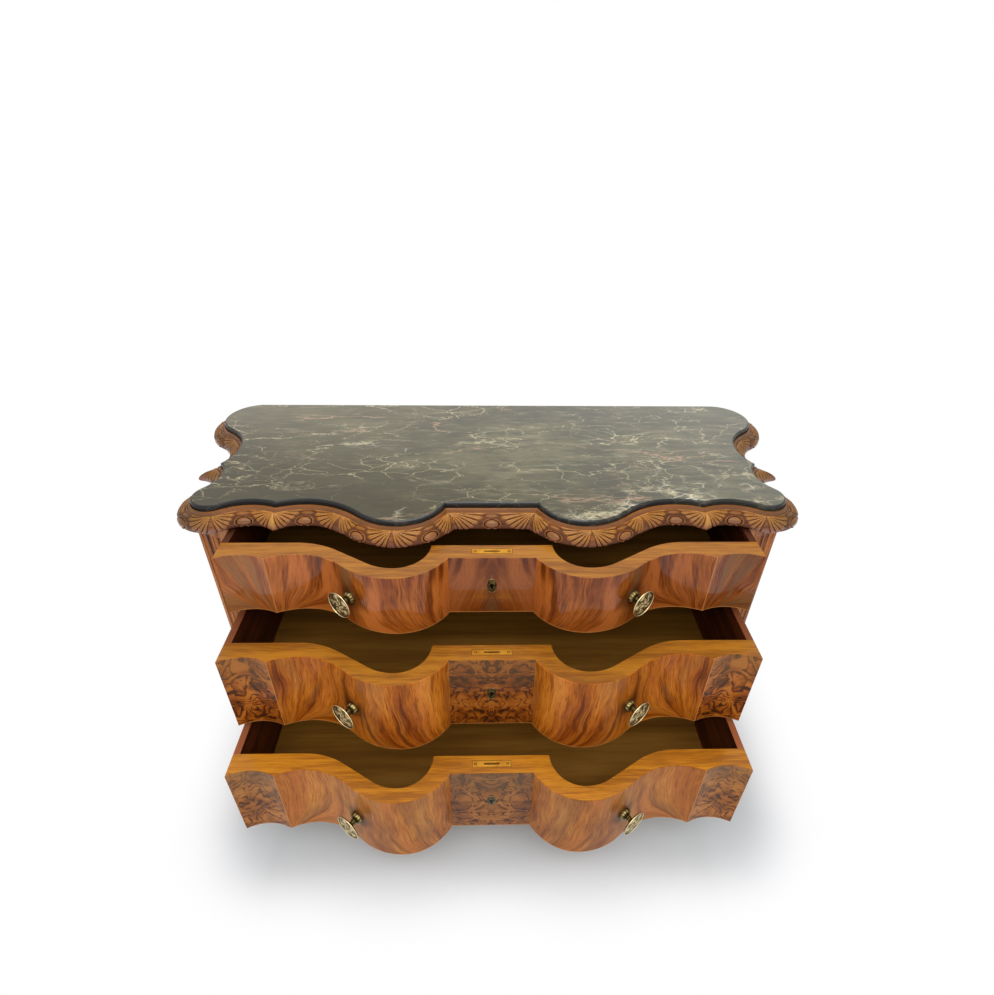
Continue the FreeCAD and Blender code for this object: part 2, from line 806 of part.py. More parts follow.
def make_case():
    """Every fixed piece, in its place."""
    cornice_front, cornice_sides = make_cornice()
    side = make_side()
    post = make_front_post()
    front_foot = make_foot(LOBE + V(front_foot_shift_x, front_foot_shift_y, 0))
    back_foot = make_foot(REAR_LOBE + V(back_foot_shift_x, back_foot_shift_y, 0))
    return {
        "marble_top": make_marble_top(),
        "cornice_front": cornice_front,
        "cornice_sides": cornice_sides,
        "sub_top": make_sub_top(),
        "left_side": side.mirror(V(0, 0, 0), V(1, 0, 0)),
        "right_side": side,
        "left_front_post": post.mirror(V(0, 0, 0), V(1, 0, 0)),
        "right_front_post": post,
        "back_posts": both_sides(make_back_post()),
        "back_panel": make_back_panel(),
        "upper_rail": make_rail(top_drawer_base, upper_rail_gap),
        "lower_rail": make_rail(middle_drawer_base, lower_rail_gap),
        "upper_runners": make_runners(top_drawer_base),
        "lower_runners": make_runners(middle_drawer_base),
        "bottom_guides": make_bottom_guides(),
        "bottom_board": make_bottom_board(),
        "base_moulding": make_base_moulding(),
        "front_feet": both_sides(front_foot),
        "back_feet": both_sides(back_foot),
    }


# Assembly: drawers drawn out, then the whole set over its own middle
def build():
    nodes = make_case()
    drawers = [
        ("top", top_drawer_base, top_drawer_height, top_open),
        ("middle", middle_drawer_base, middle_drawer_height, middle_open),
        ("bottom", bottom_drawer_base, bottom_drawer_height, bottom_open),
    ]
    for name, base, height, drawn in drawers:
        for node, shape in make_drawer(name, base, height).items():
            shape.translate(V(0, -drawn, 0))
            nodes[node] = shape
    boxes = [shape.optimalBoundingBox() for shape in nodes.values()]
    front = min(bound.YMin for bound in boxes)
    back = max(bound.YMax for bound in boxes)
    middle = (front + back) / 2
    os.makedirs("parts", exist_ok=True)
    for node, shape in nodes.items():
        shape.translate(V(0, -middle, 0))
        shape.exportStep("parts/" + node + ".step")
    print("nodes", len(nodes), "closed front line at y", round(-middle, 3))
    print("height", round(stone_base + stone_thickness, 2))


build()
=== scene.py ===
# %% [markdown]
# ## The frame
# The chest comes in as fixed parts at their real size. Everything made here is dressed around
# them in the same metres.

# %% Load the chest
import json
import math

import bmesh
import bpy
from mathutils import Matrix, Vector


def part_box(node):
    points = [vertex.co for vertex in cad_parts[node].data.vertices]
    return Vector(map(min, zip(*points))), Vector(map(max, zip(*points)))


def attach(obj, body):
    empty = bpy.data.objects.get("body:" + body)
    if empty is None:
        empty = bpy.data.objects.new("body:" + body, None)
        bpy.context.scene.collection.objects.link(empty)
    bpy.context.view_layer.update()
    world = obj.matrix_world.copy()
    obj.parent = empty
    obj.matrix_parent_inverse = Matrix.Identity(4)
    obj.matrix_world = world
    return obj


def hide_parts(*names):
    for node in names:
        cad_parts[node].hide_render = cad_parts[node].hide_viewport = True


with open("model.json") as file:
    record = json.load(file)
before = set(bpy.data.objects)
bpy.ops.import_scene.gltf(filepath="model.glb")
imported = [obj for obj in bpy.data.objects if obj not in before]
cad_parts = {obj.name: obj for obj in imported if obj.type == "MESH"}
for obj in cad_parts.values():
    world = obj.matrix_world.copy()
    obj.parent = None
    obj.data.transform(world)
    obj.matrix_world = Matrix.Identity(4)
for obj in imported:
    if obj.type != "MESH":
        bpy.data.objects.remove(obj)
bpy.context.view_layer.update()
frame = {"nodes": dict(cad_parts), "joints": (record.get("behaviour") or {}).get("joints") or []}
nodes = frame["nodes"]
MM = 0.001


def show(name, data):
    """A new object in the scene for a camera, a lamp or a mesh."""
    thing = bpy.data.objects.new(name, data)
    bpy.context.scene.collection.objects.link(thing)
    return thing


print("parts:", len(nodes))

# %% [markdown]
# ## The plan of the chest
# Seen from above, the chest is a chain of round stretches: a straight panel in the middle, a
# bulge, a flank, a hollow, a pointed cusp, a second hollow and the round corner, and then the
# same kind of line along the side. Mouldings and inlay lines follow it at their own offsets.
# It could be read off a part's mesh, but then every facet of that mesh would show in the
# carving. A few circles give a clean line at any offset, so they are worked out here.

# %% Sizes of the plan
OPENED = {joint["child"]: -joint["range_m"][0] for joint in frame["joints"]}
FRONT_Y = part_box("top_drawer_centre_veneer")[0].y + OPENED["top_drawer"]
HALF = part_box("top_drawer_front")[1].x
CASE_DEPTH = 440 * MM
OUTER_SPAN = 0.18 * HALF
INNER_HALF = 0.11 * HALF
FLANK_RUN = 0.36 * HALF
BULGE_RUN = 0.19 * HALF
OUTER_DEPTH = 10.7 * MM
INNER_DEPTH = 11.5 * MM
BULGE_OUT = 55 * MM
LOBE_R = 55 * MM
LOBE_X = HALF + 36 * MM
WAIST_IN = 0.0659 * CASE_DEPTH
SIDE_R = 0.125 * CASE_DEPTH
SIDE_GAP = 0.2409 * CASE_DEPTH
REAR_R = 0.2159 * CASE_DEPTH
TAIL_R = 0.2 * CASE_DEPTH
TAIL_OUT = 0.1795 * CASE_DEPTH
CUSP_X = HALF - OUTER_SPAN
HOLLOW_X = CUSP_X - INNER_HALF
BULGE_X = HOLLOW_X - FLANK_RUN
OUTER_R = ((OUTER_SPAN / 2) ** 2 + OUTER_DEPTH ** 2) / (2 * OUTER_DEPTH)
INNER_R = (INNER_HALF ** 2 + INNER_DEPTH ** 2) / (2 * INNER_DEPTH)
BULGE_R = (BULGE_RUN ** 2 + BULGE_OUT ** 2) / (2 * BULGE_OUT)
print("closed front line at y", round(FRONT_Y, 5), "half front", round(HALF, 4))


# %% Circles of the plan
def above(centre, reach, x):
    """How far back a point lies that stands a reach away from a centre."""
    return centre[1] + math.sqrt(reach ** 2 - (x - centre[0]) ** 2)


OUTER = (HALF - OUTER_SPAN / 2, OUTER_DEPTH - OUTER_R)
INNER = (HOLLOW_X, INNER_DEPTH - INNER_R)
LOBE = (LOBE_X, above(OUTER, OUTER_R + LOBE_R, LOBE_X))
WAIST_X = LOBE_X + LOBE_R - WAIST_IN
SIDE = (WAIST_X + SIDE_R, above(LOBE, LOBE_R + SIDE_R, WAIST_X + SIDE_R))
REAR = (WAIST_X + REAR_R, SIDE[1] + SIDE_GAP)
TAIL_X = WAIST_X + TAIL_OUT - TAIL_R
TAIL = (TAIL_X, above(REAR, REAR_R + TAIL_R, TAIL_X))


def crossing(a, radius_a, b, radius_b):
    """Where two circles cross, on the left of the way from the first to the second."""
    dx, dy = b[0] - a[0], b[1] - a[1]
    gap = math.hypot(dx, dy)
    along = (radius_a ** 2 - radius_b ** 2 + gap ** 2) / (2 * gap)
    across = math.sqrt(max(radius_a ** 2 - along ** 2, 0))
    return a[0] + (dx * along - dy * across) / gap, a[1] + (dy * along + dx * across) / gap


def bearing(centre, point):
    return math.atan2(point[1] - centre[1], point[0] - centre[0])


def arcs_at(out, back):
    """Half the panel's width, and centre, radius, first and last bearing of each round stretch."""
    cheek_r = BULGE_R + out
    lowest_y = -BULGE_OUT - out
    cheek = (BULGE_X, lowest_y + cheek_r)
    panel_x = BULGE_X - math.sqrt(cheek_r ** 2 - (cheek[1] + out) ** 2)
    inner_r = INNER_R - out
    turn = 2 * math.atan2(INNER_DEPTH + BULGE_OUT, FLANK_RUN)
    flank_r = FLANK_RUN / math.sin(turn) - inner_r
    cusp = crossing(INNER, inner_r, OUTER, OUTER_R - out)
    side_cusp = crossing(SIDE, SIDE_R - out, REAR, REAR_R - out)
    tail_r = TAIL_R + out
    down = -math.pi / 2
    full = 2 * math.pi
    return panel_x, [
        (cheek, cheek_r, bearing(cheek, (panel_x, -out)), down),
        ((BULGE_X, lowest_y + flank_r), flank_r, down, down + turn),
        (INNER, inner_r, math.pi / 2 + turn, bearing(INNER, cusp)),
        (OUTER, OUTER_R - out, bearing(OUTER, cusp), bearing(OUTER, LOBE)),
        (LOBE, LOBE_R + out, bearing(OUTER, LOBE) - math.pi, 0.0),
        (LOBE, LOBE_R + out, 0.0, bearing(LOBE, SIDE)),
        (SIDE, SIDE_R - out, bearing(SIDE, LOBE) % full, bearing(SIDE, side_cusp) % full),
        (REAR, REAR_R - out, bearing(REAR, side_cusp) % full, bearing(REAR, TAIL) % full),
        (TAIL, tail_r, bearing(TAIL, REAR), math.asin(min((back - TAIL[1]) / tail_r, 1))),
    ]


# %% Points and lengths on the plan
PLAN_STEP = 0.01 * MM
plan_memory = {}


def plan_at(out, back):
    key = (round(out / PLAN_STEP), back)
    if key not in plan_memory:
        plan_memory[key] = arcs_at(out, back)
    return plan_memory[key]


def plan_point(out, stretch, share, back=CASE_DEPTH):
    """A point part of the way along a stretch. Stretch 0 is the straight middle panel."""
    panel_x, arcs = plan_at(out, back)
    if stretch == 0:
        return panel_x * share, FRONT_Y - out
    centre, radius, first, last = arcs[stretch - 1]
    angle = first + (last - first) * share
    return centre[0] + radius * math.cos(angle), centre[1] + radius * math.sin(angle) + FRONT_Y


def stretch_lengths(out, back=CASE_DEPTH):
    panel_x, arcs = plan_at(out, back)
    return [panel_x] + [radius * abs(last - first) for _, radius, first, last in arcs]


print("right half of the plan, mm:", [round(length / MM) for length in stretch_lengths(0)])

# %% [markdown]
# ## Camera
# The camera is the first thing to settle, because every later look compares with the photo.
# Its place and turns were found from the corners, cusps and bulges of the three fronts. The
# lens is worked out from the focal length in pixels, so the frame matches without any shift.

# %% Place the camera
FOCAL_PIXELS = 590
FRAME_PIXELS = 995
SENSOR = 36
YAW = math.radians(1.735)
PITCH = math.radians(34.146)
ROLL = math.radians(0.969)
EYE = (-0.0181, -0.95917, 1.4224)
forward = Vector((math.sin(YAW) * math.cos(PITCH), math.cos(YAW) * math.cos(PITCH), -math.sin(PITCH)))
level = Vector((math.cos(YAW), -math.sin(YAW), 0))
upward = level.cross(forward)
right = level * math.cos(ROLL) + upward * math.sin(ROLL)
over = upward * math.cos(ROLL) - level * math.sin(ROLL)
camera_data = bpy.data.cameras.new("camera")
camera_data.sensor_fit = "AUTO"
camera_data.sensor_width = SENSOR
camera_data.lens = FOCAL_PIXELS / FRAME_PIXELS * SENSOR
camera = show("camera", camera_data)
camera.matrix_world = Matrix.Translation(EYE) @ Matrix((right, over, -forward)).transposed().to_4x4()
bpy.context.scene.camera = camera
print("lens", round(camera_data.lens, 2), "mm")

# %% [markdown]
# ## Small tools for materials
# A node tree reads badly when every link takes a line. Here a Field is a value that changes over
# a surface: the output of some node. Adding, multiplying or comparing fields makes the Math
# nodes for it, so a finish reads like a sum. Colours are written as they are seen on screen and
# turned into linear light.


# %% Colours
def paint(red, green, blue):
    """A screen colour, 0 to 255, as linear light."""
    linear = []
    for value in (red, green, blue):
        share = value / 255
        linear.append(share / 12.92 if share <= 0.04045 else ((share + 0.055) / 1.055) ** 2.4)
    return (*linear, 1.0)


def paints(*colours):
    return [paint(*colour) for colour in colours]


def shaded(colours, share):
    """The same colours with only a share of their light."""
    return [(red * share, green * share, blue * share, 1.0) for red, green, blue, _ in colours]


WHITE = paint(255, 255, 255)
print("half of white on screen is", round(paint(128, 128, 128)[0], 3), "of its light")


# %% Fields
class Field:
    """A number, place or colour that changes over a surface."""

    def __init__(self, socket):
        self.socket = socket
        self.tree = socket.id_data

    def __add__(self, other):
        return calc("ADD", self, other)

    def __sub__(self, other):
        return calc("SUBTRACT", self, other)

    def __rsub__(self, other):
        return calc("SUBTRACT", other, self)

    def __mul__(self, other):
        return calc("MULTIPLY", self, other)

    def __truediv__(self, other):
        return calc("DIVIDE", self, other)

    def __pow__(self, other):
        return calc("POWER", self, other)

    def __lt__(self, other):
        return calc("LESS_THAN", self, other)

    def __abs__(self):
        return calc("ABSOLUTE", self)


def put(socket, value):
    """Links a field to a socket, or sets a plain value on it."""
    if isinstance(value, Field):
        value.tree.links.new(value.socket, socket)
    else:
        socket.default_value = value


def add(kind, sockets, tree=None, output=0, **settings):
    """A shader node, set up and wired, as the field of one of its outputs."""
    if tree is None:
        tree = next(value.tree for value in sockets.values() if isinstance(value, Field))
    node = tree.nodes.new("ShaderNode" + kind)
    for name, value in settings.items():
        setattr(node, name, value)
    for name, value in sockets.items():
        put(node.inputs[name], value)
    return Field(node.outputs[output])


def calc(operation, *values, **settings):
    """One Math node on fields and plain numbers."""
    return add("Math", dict(enumerate(values)), operation=operation, **settings)


def higher(first, second):
    return calc("MAXIMUM", first, second)


# %% [markdown]
# A noise, a ramp or a mix of two colours takes one node each. These helpers give each of them a
# short name. A place is a vector field, so there are a few helpers that take one apart, put it
# together, measure it or bend it.


# %% Ramps, mixes and noise
def remap(value, low, high, new_low=0.0, new_high=1.0):
    """Spreads a range over another one, with soft ends."""
    sockets = {"Value": value, "From Min": low, "From Max": high, "To Min": new_low, "To Max": new_high}
    return add("MapRange", sockets, interpolation_type="SMOOTHSTEP")


def blend(share, first, second):
    """Mixes two colours."""
    return add("Mix", {0: share, 6: first, 7: second}, output=2, data_type="RGBA")


def ramp(share, places, colours):
    """A colour ramp with one colour at each place."""
    result = add("ValToRGB", {"Fac": share})
    elements = result.socket.node.color_ramp.elements
    while len(elements) < len(places):
        elements.new(0.5)
    for element, place, colour in zip(elements, places, colours):
        element.position = place
        element.color = colour
    return result


def curve(value, pairs):
    """A float curve through pairs between 0 and 1."""
    result = add("FloatCurve", {"Value": value})
    mapping = result.socket.node.mapping
    points = mapping.curves[0].points
    points[0].location = pairs[0]
    points[1].location = pairs[-1]
    for pair in pairs[1:-1]:
        points.new(*pair)
    for point in points:
        point.handle_type = "VECTOR"
    mapping.update()
    return result


def noise(where, scale, detail=3.0, roughness=0.55, twist=0.0, output="Fac"):
    sockets = {"Vector": where, "Scale": scale, "Detail": detail, "Roughness": roughness, "Distortion": twist}
    return add("TexNoise", sockets, output=output)


def bump(height, distance):
    return add("Bump", {"Height": height, "Distance": distance})


# %% Places
def join(x=0.0, y=0.0, z=0.0):
    return add("CombineXYZ", {"X": x, "Y": y, "Z": z})


def split(vector):
    return [Field(socket) for socket in add("SeparateXYZ", {"Vector": vector}).socket.node.outputs]


def distance(x, y):
    """How far a point of a plane lies from its middle."""
    return add("VectorMath", {0: join(x, y)}, output="Value", operation="LENGTH")


def shifted(where, seed):
    """A place moved the same way along all three axes, for another part of a pattern."""
    step = join(seed, seed, seed) if isinstance(seed, Field) else (seed, seed, seed)
    return add("VectorMath", {0: where, 1: step}, operation="ADD")


def bent(where, pull, reach):
    """A place pulled about by the colours of a noise."""
    pull = add("VectorMath", {0: pull, 1: (0.5, 0.5, 0.5)}, operation="SUBTRACT")
    pull = add("VectorMath", {0: pull, "Scale": reach}, operation="SCALE")
    return add("VectorMath", {0: where, 1: pull}, operation="ADD")


def stored(tree, name):
    """A number that the mesh keeps with each of its points."""
    return add("Attribute", {}, tree, "Fac", attribute_name=name)


def facing_up(tree):
    """One where a surface looks straight up, zero where it is upright."""
    return split(add("NewGeometry", {}, tree, "Normal"))[2]


# %% [markdown]
# An effect that several finishes use becomes a node group. It is opened with its named inputs,
# and closed with its named outputs. A finish is a material with one Principled shader: what is
# the same all over goes straight on the shader's sockets, and fields are fed to the others.


# %% Groups
def new_group(name, **inputs):
    """Opens a node group and gives its inputs. An input without a number is a place."""
    group = bpy.data.node_groups.new(name, "ShaderNodeTree")
    for label, value in inputs.items():
        kind = "NodeSocketVector" if value is None else "NodeSocketFloat"
        socket = group.interface.new_socket(name=label, in_out="INPUT", socket_type=kind)
        if value is not None:
            socket.default_value = value
    source = group.nodes.new("NodeGroupInput")
    return [Field(socket) for socket in source.outputs[:len(inputs)]]


def finish_group(**outputs):
    """Closes the group that these fields are in, and gives it."""
    group = next(iter(outputs.values())).tree
    for label in outputs:
        group.interface.new_socket(name=label, in_out="OUTPUT", socket_type="NodeSocketFloat")
    sink = group.nodes.new("NodeGroupOutput")
    for label, value in outputs.items():
        put(sink.inputs[label], value)
    print("group", group.name, "gives", ", ".join(outputs))
    return group


def use(group, **sockets):
    """Places a group in the tree of its fields, and gives its outputs by name."""
    node = sockets["Vector"].tree.nodes.new("ShaderNodeGroup")
    node.node_tree = group
    for name, value in sockets.items():
        put(node.inputs[name], value)
    return {socket.name: Field(socket) for socket in node.outputs}


# %% Finishes
def feed(shader, **values):
    """Links fields to a shader's sockets or sets plain values. Spaces are written as underscores."""
    for label, value in values.items():
        put(shader.inputs[label.replace("_", " ")], value)


def new_material(name, **constants):
    """A material, its shader, and where a point of the chest is in metres."""
    material = bpy.data.materials.new(name)
    material.use_nodes = True
    tree = material.node_tree
    tree.nodes.clear()
    shader = tree.nodes.new("ShaderNodeBsdfPrincipled")
    target = tree.nodes.new("ShaderNodeOutputMaterial")
    tree.links.new(shader.outputs[0], target.inputs[0])
    feed(shader, **constants)
    print("finish", name)
    return material, shader, add("TexCoord", {}, tree, "Object")


def dress(material, *names):
    """Gives parts of the chest a finish."""
    for name in names:
        for slot in nodes[name].material_slots:
            slot.material = material


# %% [markdown]
# ## Floor, world and lamps
# The photo shows the chest on plain white, lit from above, with a soft grey shadow right below
# it. More light would wash the wood out, so the white comes from what the camera sees of the
# floor and the world, and the lamps stay at a level where a colour looks as it is written.
# Round the chest the floor is real paper that takes the shadow. Under the chest it is also painted a little
# greyer, a painted shadow, and beyond a soft-edged box it turns into pure white.

# %% Floor
FLOOR_HALF = 12
PAPER_MIDDLE = (0.035, 0.12)
PAPER_HALF = (0.51, 0.34)
SHADOW_FADE = (0.07, 0.30)
PAINTED_SHADOW_FADE = (0.04, 0.22)
PAPER_PAINTED_SHADOW = paint(211, 216, 219)
PAPER_FAR = paint(248, 250, 253)


def seen_plainly(tree):
    """One where the camera looks, also in a mirror or through glass, and zero for other light."""
    camera_ray = add("LightPath", {}, tree, "Is Camera Ray")
    glossy_ray = add("LightPath", {}, tree, "Is Glossy Ray")
    through_ray = add("LightPath", {}, tree, "Is Transmission Ray")
    return calc("ADD", camera_ray + glossy_ray, through_ray, use_clamp=True)


def make_floor():
    mesh = bpy.data.meshes.new("floor")
    build = bmesh.new()
    bmesh.ops.create_grid(build, x_segments=1, y_segments=1, size=FLOOR_HALF)
    build.to_mesh(mesh)
    build.free()
    material, shader, where = new_material("white_paper", Roughness=0.9, Specular_IOR_Level=0.0)
    x, y, _ = split(where)
    beside = higher(abs(x - PAPER_MIDDLE[0]) - PAPER_HALF[0], 0.0)
    before = higher(abs(y - PAPER_MIDDLE[1]) - PAPER_HALF[1], 0.0)
    reach = distance(beside, before)
    # Under the chest the paper is painted greyer: a painted shadow on top of the real one.
    feed(shader, Base_Color=blend(remap(reach, *PAINTED_SHADOW_FADE), PAPER_PAINTED_SHADOW, PAPER_FAR))
    share = remap(reach, *SHADOW_FADE) * seen_plainly(where.tree)
    glow = add("Emission", {"Color": WHITE, "Strength": 1.0}, where.tree)
    mixed = add("MixShader", {"Fac": share, 1: Field(shader.outputs[0]), 2: glow})
    put(where.tree.nodes["Material Output"].inputs[0], mixed)
    mesh.materials.append(material)
    floor = show("floor", mesh)


make_floor()


# %% World and lamps
WORLD_LIGHT = 0.36
AIM = Vector((0, 0, 0.4))
LAMPS = {
    "key": ((-0.5, -1.9, 3.0), 2.0, 45),
    "fill": ((0.9, -1.9, 2.8), 2.0, 31),
    "overhead": ((0.0, 0.5, 3.2), 1.4, 38),
}


def make_world():
    world = bpy.data.worlds.new("studio")
    world.use_nodes = True
    tree = world.node_tree
    tree.nodes.clear()
    level = seen_plainly(tree) * (1.0 - WORLD_LIGHT) + WORLD_LIGHT
    sky = add("Background", {"Color": WHITE, "Strength": level})
    put(tree.nodes.new("ShaderNodeOutputWorld").inputs[0], sky)
    bpy.context.scene.world = world


def add_lamp(name, where, size, power):
    """A square lamp that points at the chest. Its size is in metres and its power in watts."""
    data = bpy.data.lights.new(name, "AREA")
    data.shape = "SQUARE"
    data.size = size
    data.energy = power
    lamp = show(name, data)
    lamp.location = where
    lamp.rotation_euler = (AIM - Vector(where)).to_track_quat("-Z", "Y").to_euler()


make_world()
for name, lamp in LAMPS.items():
    add_lamp(name, *lamp)
bpy.context.scene.view_settings.view_transform = "Standard"
print("lamps:", ", ".join(LAMPS))

# %% [markdown]
# ## Following the curved front
# Veneer is laid round the serpentine, so its figure has to be measured along the curve. Where
# the front turns steeply, a pattern on plain X would be stretched. A group turns X into the
# length along the front, with a curve drawn through points of the plan, and tells the straight
# middle panel from the rest.

# %% Group: place on the front
CURVE_POINTS = 40
STRETCH_STEPS = 24
LENGTH_RANGE = 0.7
PANEL_X = plan_point(0, 0, 1.0)[0]
BULGE_ALONG = sum(stretch_lengths(0)[:2])
CUSP_ALONG = sum(stretch_lengths(0)[:4])


def front_table():
    """Pairs of X and length along the front, from the middle out."""
    rows = []
    length = 0.0
    last = (0.0, FRONT_Y)
    for stretch in range(5):
        for step in range(STRETCH_STEPS):
            x, y = plan_point(0, stretch, step / STRETCH_STEPS)
            length += math.hypot(x - last[0], y - last[1])
            last = (x, y)
            if x <= HALF:
                rows.append((x, length))
    return rows


def make_front_place():
    [where] = new_group("place_on_front", Vector=None)
    x, _, z = split(where)
    table = front_table()
    picks = [table[round(i * (len(table) - 1) / CURVE_POINTS)] for i in range(CURVE_POINTS + 1)]
    along = curve(abs(x) / HALF, [(row[0] / HALF, row[1] / LENGTH_RANGE) for row in picks])
    print("front, measured along the curve:", round(table[-1][1], 4), "m on each side")
    return finish_group(Along=along * LENGTH_RANGE, Height=z, Panel=abs(x) < PANEL_X)


front_place = make_front_place()

# %% [markdown]
# ## Wood: pores and grain
# All the woods share two things: streaks that run with the grain, and short dark pores. The
# group takes a place whose X runs along the grain, and gives back a streak value, a pore mask
# and a height for the bump. Each wood then picks its own colours and scale.

# %% Group: grain
GRAIN_STRETCH = 0.06
PORE_STRETCH = 0.09
WAVINESS = 4 * MM


def make_grain():
    where, bands, seed = new_group("grain", Vector=None, Bands=40.0, Seed=0.0)
    x, y, z = split(where)
    drift = (noise(join(x + seed, y, z), 3.5, 2.0) - 0.5) * WAVINESS
    y = y + drift
    z = z + drift
    spread = join(x * GRAIN_STRETCH + seed, y, z)
    fine = noise(spread, bands * 7.0, 2.0, 0.6)
    pores = remap(noise(join(x * PORE_STRETCH, y, z), 900.0, 1.0, 0.5), 0.62, 0.72)
    return finish_group(Streak=noise(spread, bands, 4.0, 0.6), Fine=fine, Pores=pores,
                        Height=fine * 0.4 - pores * 0.6)


grain = make_grain()

# %% [markdown]
# ## Figured veneer
# The flanks are cut from figured walnut and opened like a fan: the stripes spring from the foot
# of each cusp, lean outwards and end upright, while on the bulges they sweep to the middle at
# the bottom. Left and right are mirror images, as two leaves of one bundle. The stripes are a
# noise that is long in one direction, read at a place that is first bent into that shape. A
# second, broader noise on the same bent place turns some bands grey and some pink.

# %% Group: fan figure
CUSP_REACH = 0.08
CUSP_OPEN = 0.075
SWEEP = 0.05
SWEEP_REACH = 0.075
SWEEP_POWER = 4.5
PANEL_LEAN = 0.32
WARP = 0.035
STRIPE_STRETCH = 0.07
BROAD_STRETCH = 0.25
HUE_STRETCH = 0.18
HUE_SEED = 3.7


def bell(value, reach):
    """One in the middle, fading to nothing beyond a reach on either side."""
    share = value / reach
    return calc("EXPONENT", share * share * -1.0)


def make_fan():
    where, foot, tall, seed, bands = new_group(
        "fan_figure", Vector=None, Foot=0.0, Tall=0.18, Seed=0.0, Bands=60.0)
    spot = use(front_place, Vector=where)
    along, height, panel = spot["Along"], spot["Height"], spot["Panel"]
    rise = height - foot
    level = rise / tall
    warp = noise(join(along + seed, height, seed), 9.0, 2.0, 0.5) - 0.5
    away = warp * WARP + (along - CUSP_ALONG)
    opened = calc("SQRT", higher(level + CUSP_OPEN, 0.01))
    across = (away / opened - away) * bell(away, CUSP_REACH) + away
    sweep = higher(1.0 - level, 0.0) ** SWEEP_POWER * SWEEP
    across = sweep * bell(along - BULGE_ALONG, SWEEP_REACH) + across
    across = rise * PANEL_LEAN * panel + across
    stripe = rise * STRIPE_STRETCH
    striped = join(across, stripe + seed, seed)
    streak = noise(striped, bands, 3.0, 0.6, 0.25)
    fine = noise(striped, bands * 5.0, 2.0, 0.6)
    broad = noise(join(across, rise * BROAD_STRETCH + seed, seed), 20.0, 2.0, 0.55, 0.5)
    hue = noise(join(across, rise * HUE_STRETCH, seed + HUE_SEED), 24.0, 2.0, 0.5, 0.4)
    pores = remap(noise(join(across, stripe, seed), 800.0, 1.0, 0.5), 0.60, 0.72)
    return finish_group(Streak=streak, Fine=fine, Broad=broad, Hue=hue, Pores=pores, Panel=panel)


fan = make_fan()

# %% Inlay lines
STRING_HALF = 0.9 * MM
STRING_TONE = paint(190, 126, 66)
BOTTOM_HIGHLIGHT_HEIGHT = 2.2 * MM


def inlaid(where, colour, foot):
    """A thin pale line let in down each cusp, and a pale band along the bottom edge that is a painted
    highlight.
    """
    x, _, z = split(where)
    line = abs(abs(x) - CUSP_X) < STRING_HALF
    colour = blend(line * 0.8, colour, STRING_TONE)
    # The pale band along the bottom edge is a painted highlight.
    low = z - foot < BOTTOM_HIGHLIGHT_HEIGHT
    return blend(low * 0.6, colour, STRING_TONE)


# %% [markdown]
# Old polish is a thin clear film: the wood under it is deep orange, and the film mirrors the
# white floor, which gives the milky sheen. So the shader has a sharp clear coat over a dull,
# strongly coloured base. The grain moves only the base, and the film stays smooth. The far left
# of the top drawer is painted paler, as painted light, and each drawer is painted darker on its
# right, as painted shade. Round the foot of each knob the wood is painted darker: painted shade
# where the knob hides the floor's reflection.

# %% Finish: figured walnut
FIGURE_DARK = paint(62, 22, 5)
FIGURE_GREY = paint(124, 86, 50)
FIGURE_PINK = paint(190, 106, 46)
FIGURE_PAINTED_LIGHT = paint(214, 140, 84)
FIGURE_PLACES = (0.0, 0.3, 0.55, 0.8, 1.0)
VENEER_BANDS = 76.0
PANEL_SHADE = 0.45
PAINTED_LIGHT_FROM_TO = (-0.3, -0.48)
PAINTED_SHADE_FROM_TO = (0.05, 0.2)
KNOB_PAINTED_SHADE = paint(48, 20, 6)
KNOB_FOOT = 255 * MM
KNOB_SHADE_REACH = (34 * MM, 13 * MM)


def new_veneer(name, coat):
    return new_material(name, Coat_Weight=coat, Coat_Roughness=0.07, Specular_IOR_Level=0.08)


def make_figured(name, foot, top, knob_z, seed, looks):
    """Figured veneer for one drawer."""
    material, shader, where = new_veneer(name, looks["coat"])
    x, _, z = split(where)
    figure = use(fan, Vector=where, Foot=foot, Tall=top - foot, Seed=seed, Bands=VENEER_BANDS)
    share = figure["Broad"] * 0.36 + figure["Streak"] * 0.36 + figure["Fine"] * 0.28
    colour = ramp(remap(share, 0.31, 0.68), FIGURE_PLACES, looks["figure"])
    dark = higher(remap(figure["Fine"], 0.44, 0.30), remap(figure["Streak"], 0.44, 0.32))
    from_foot = distance(abs(x) - KNOB_FOOT, z - knob_z)
    for mask, tone in (
        (remap(figure["Hue"], 0.52, 0.63) * looks["hues"], FIGURE_GREY),
        (remap(figure["Hue"], 0.46, 0.36) * looks["hues"], FIGURE_PINK),
        (dark * looks["lines"], FIGURE_DARK),
        (figure["Pores"] * 0.35, FIGURE_DARK),
        (figure["Panel"] * PANEL_SHADE, FIGURE_DARK),
        # Painted light on the far left of the drawer, and painted shade on its right.
        (remap(x, *PAINTED_LIGHT_FROM_TO, 0.0, looks["painted light left"]), FIGURE_PAINTED_LIGHT),
        (remap(x, *PAINTED_SHADE_FROM_TO, 0.0, looks["painted shade right"]), FIGURE_DARK),
        # Painted shade round the foot of each knob, where the knob hides the floor's reflection.
        (remap(from_foot, *KNOB_SHADE_REACH, 0.0, 0.55), KNOB_PAINTED_SHADE),
    ):
        colour = blend(mask, colour, tone)
    feed(shader, Base_Color=inlaid(where, colour, foot), Roughness=figure["Streak"] * 0.15 + 0.42,
         Normal=bump(figure["Fine"] * 0.4 - figure["Pores"], 0.06 * MM))
    return material


# %% [markdown]
# ## Burr veneer
# The middle panels and the ends of the two lower drawers are burr: orange islands with dark
# outlines that swirl round each other, opened like a book about the middle line. A noise bends
# a second noise. Cut into bands, that one closes up into islands, and each band goes from dark
# to light like the scales of real burr.

# %% Group: burr
ISLAND_BANDS = 9.0
CURL = 0.06


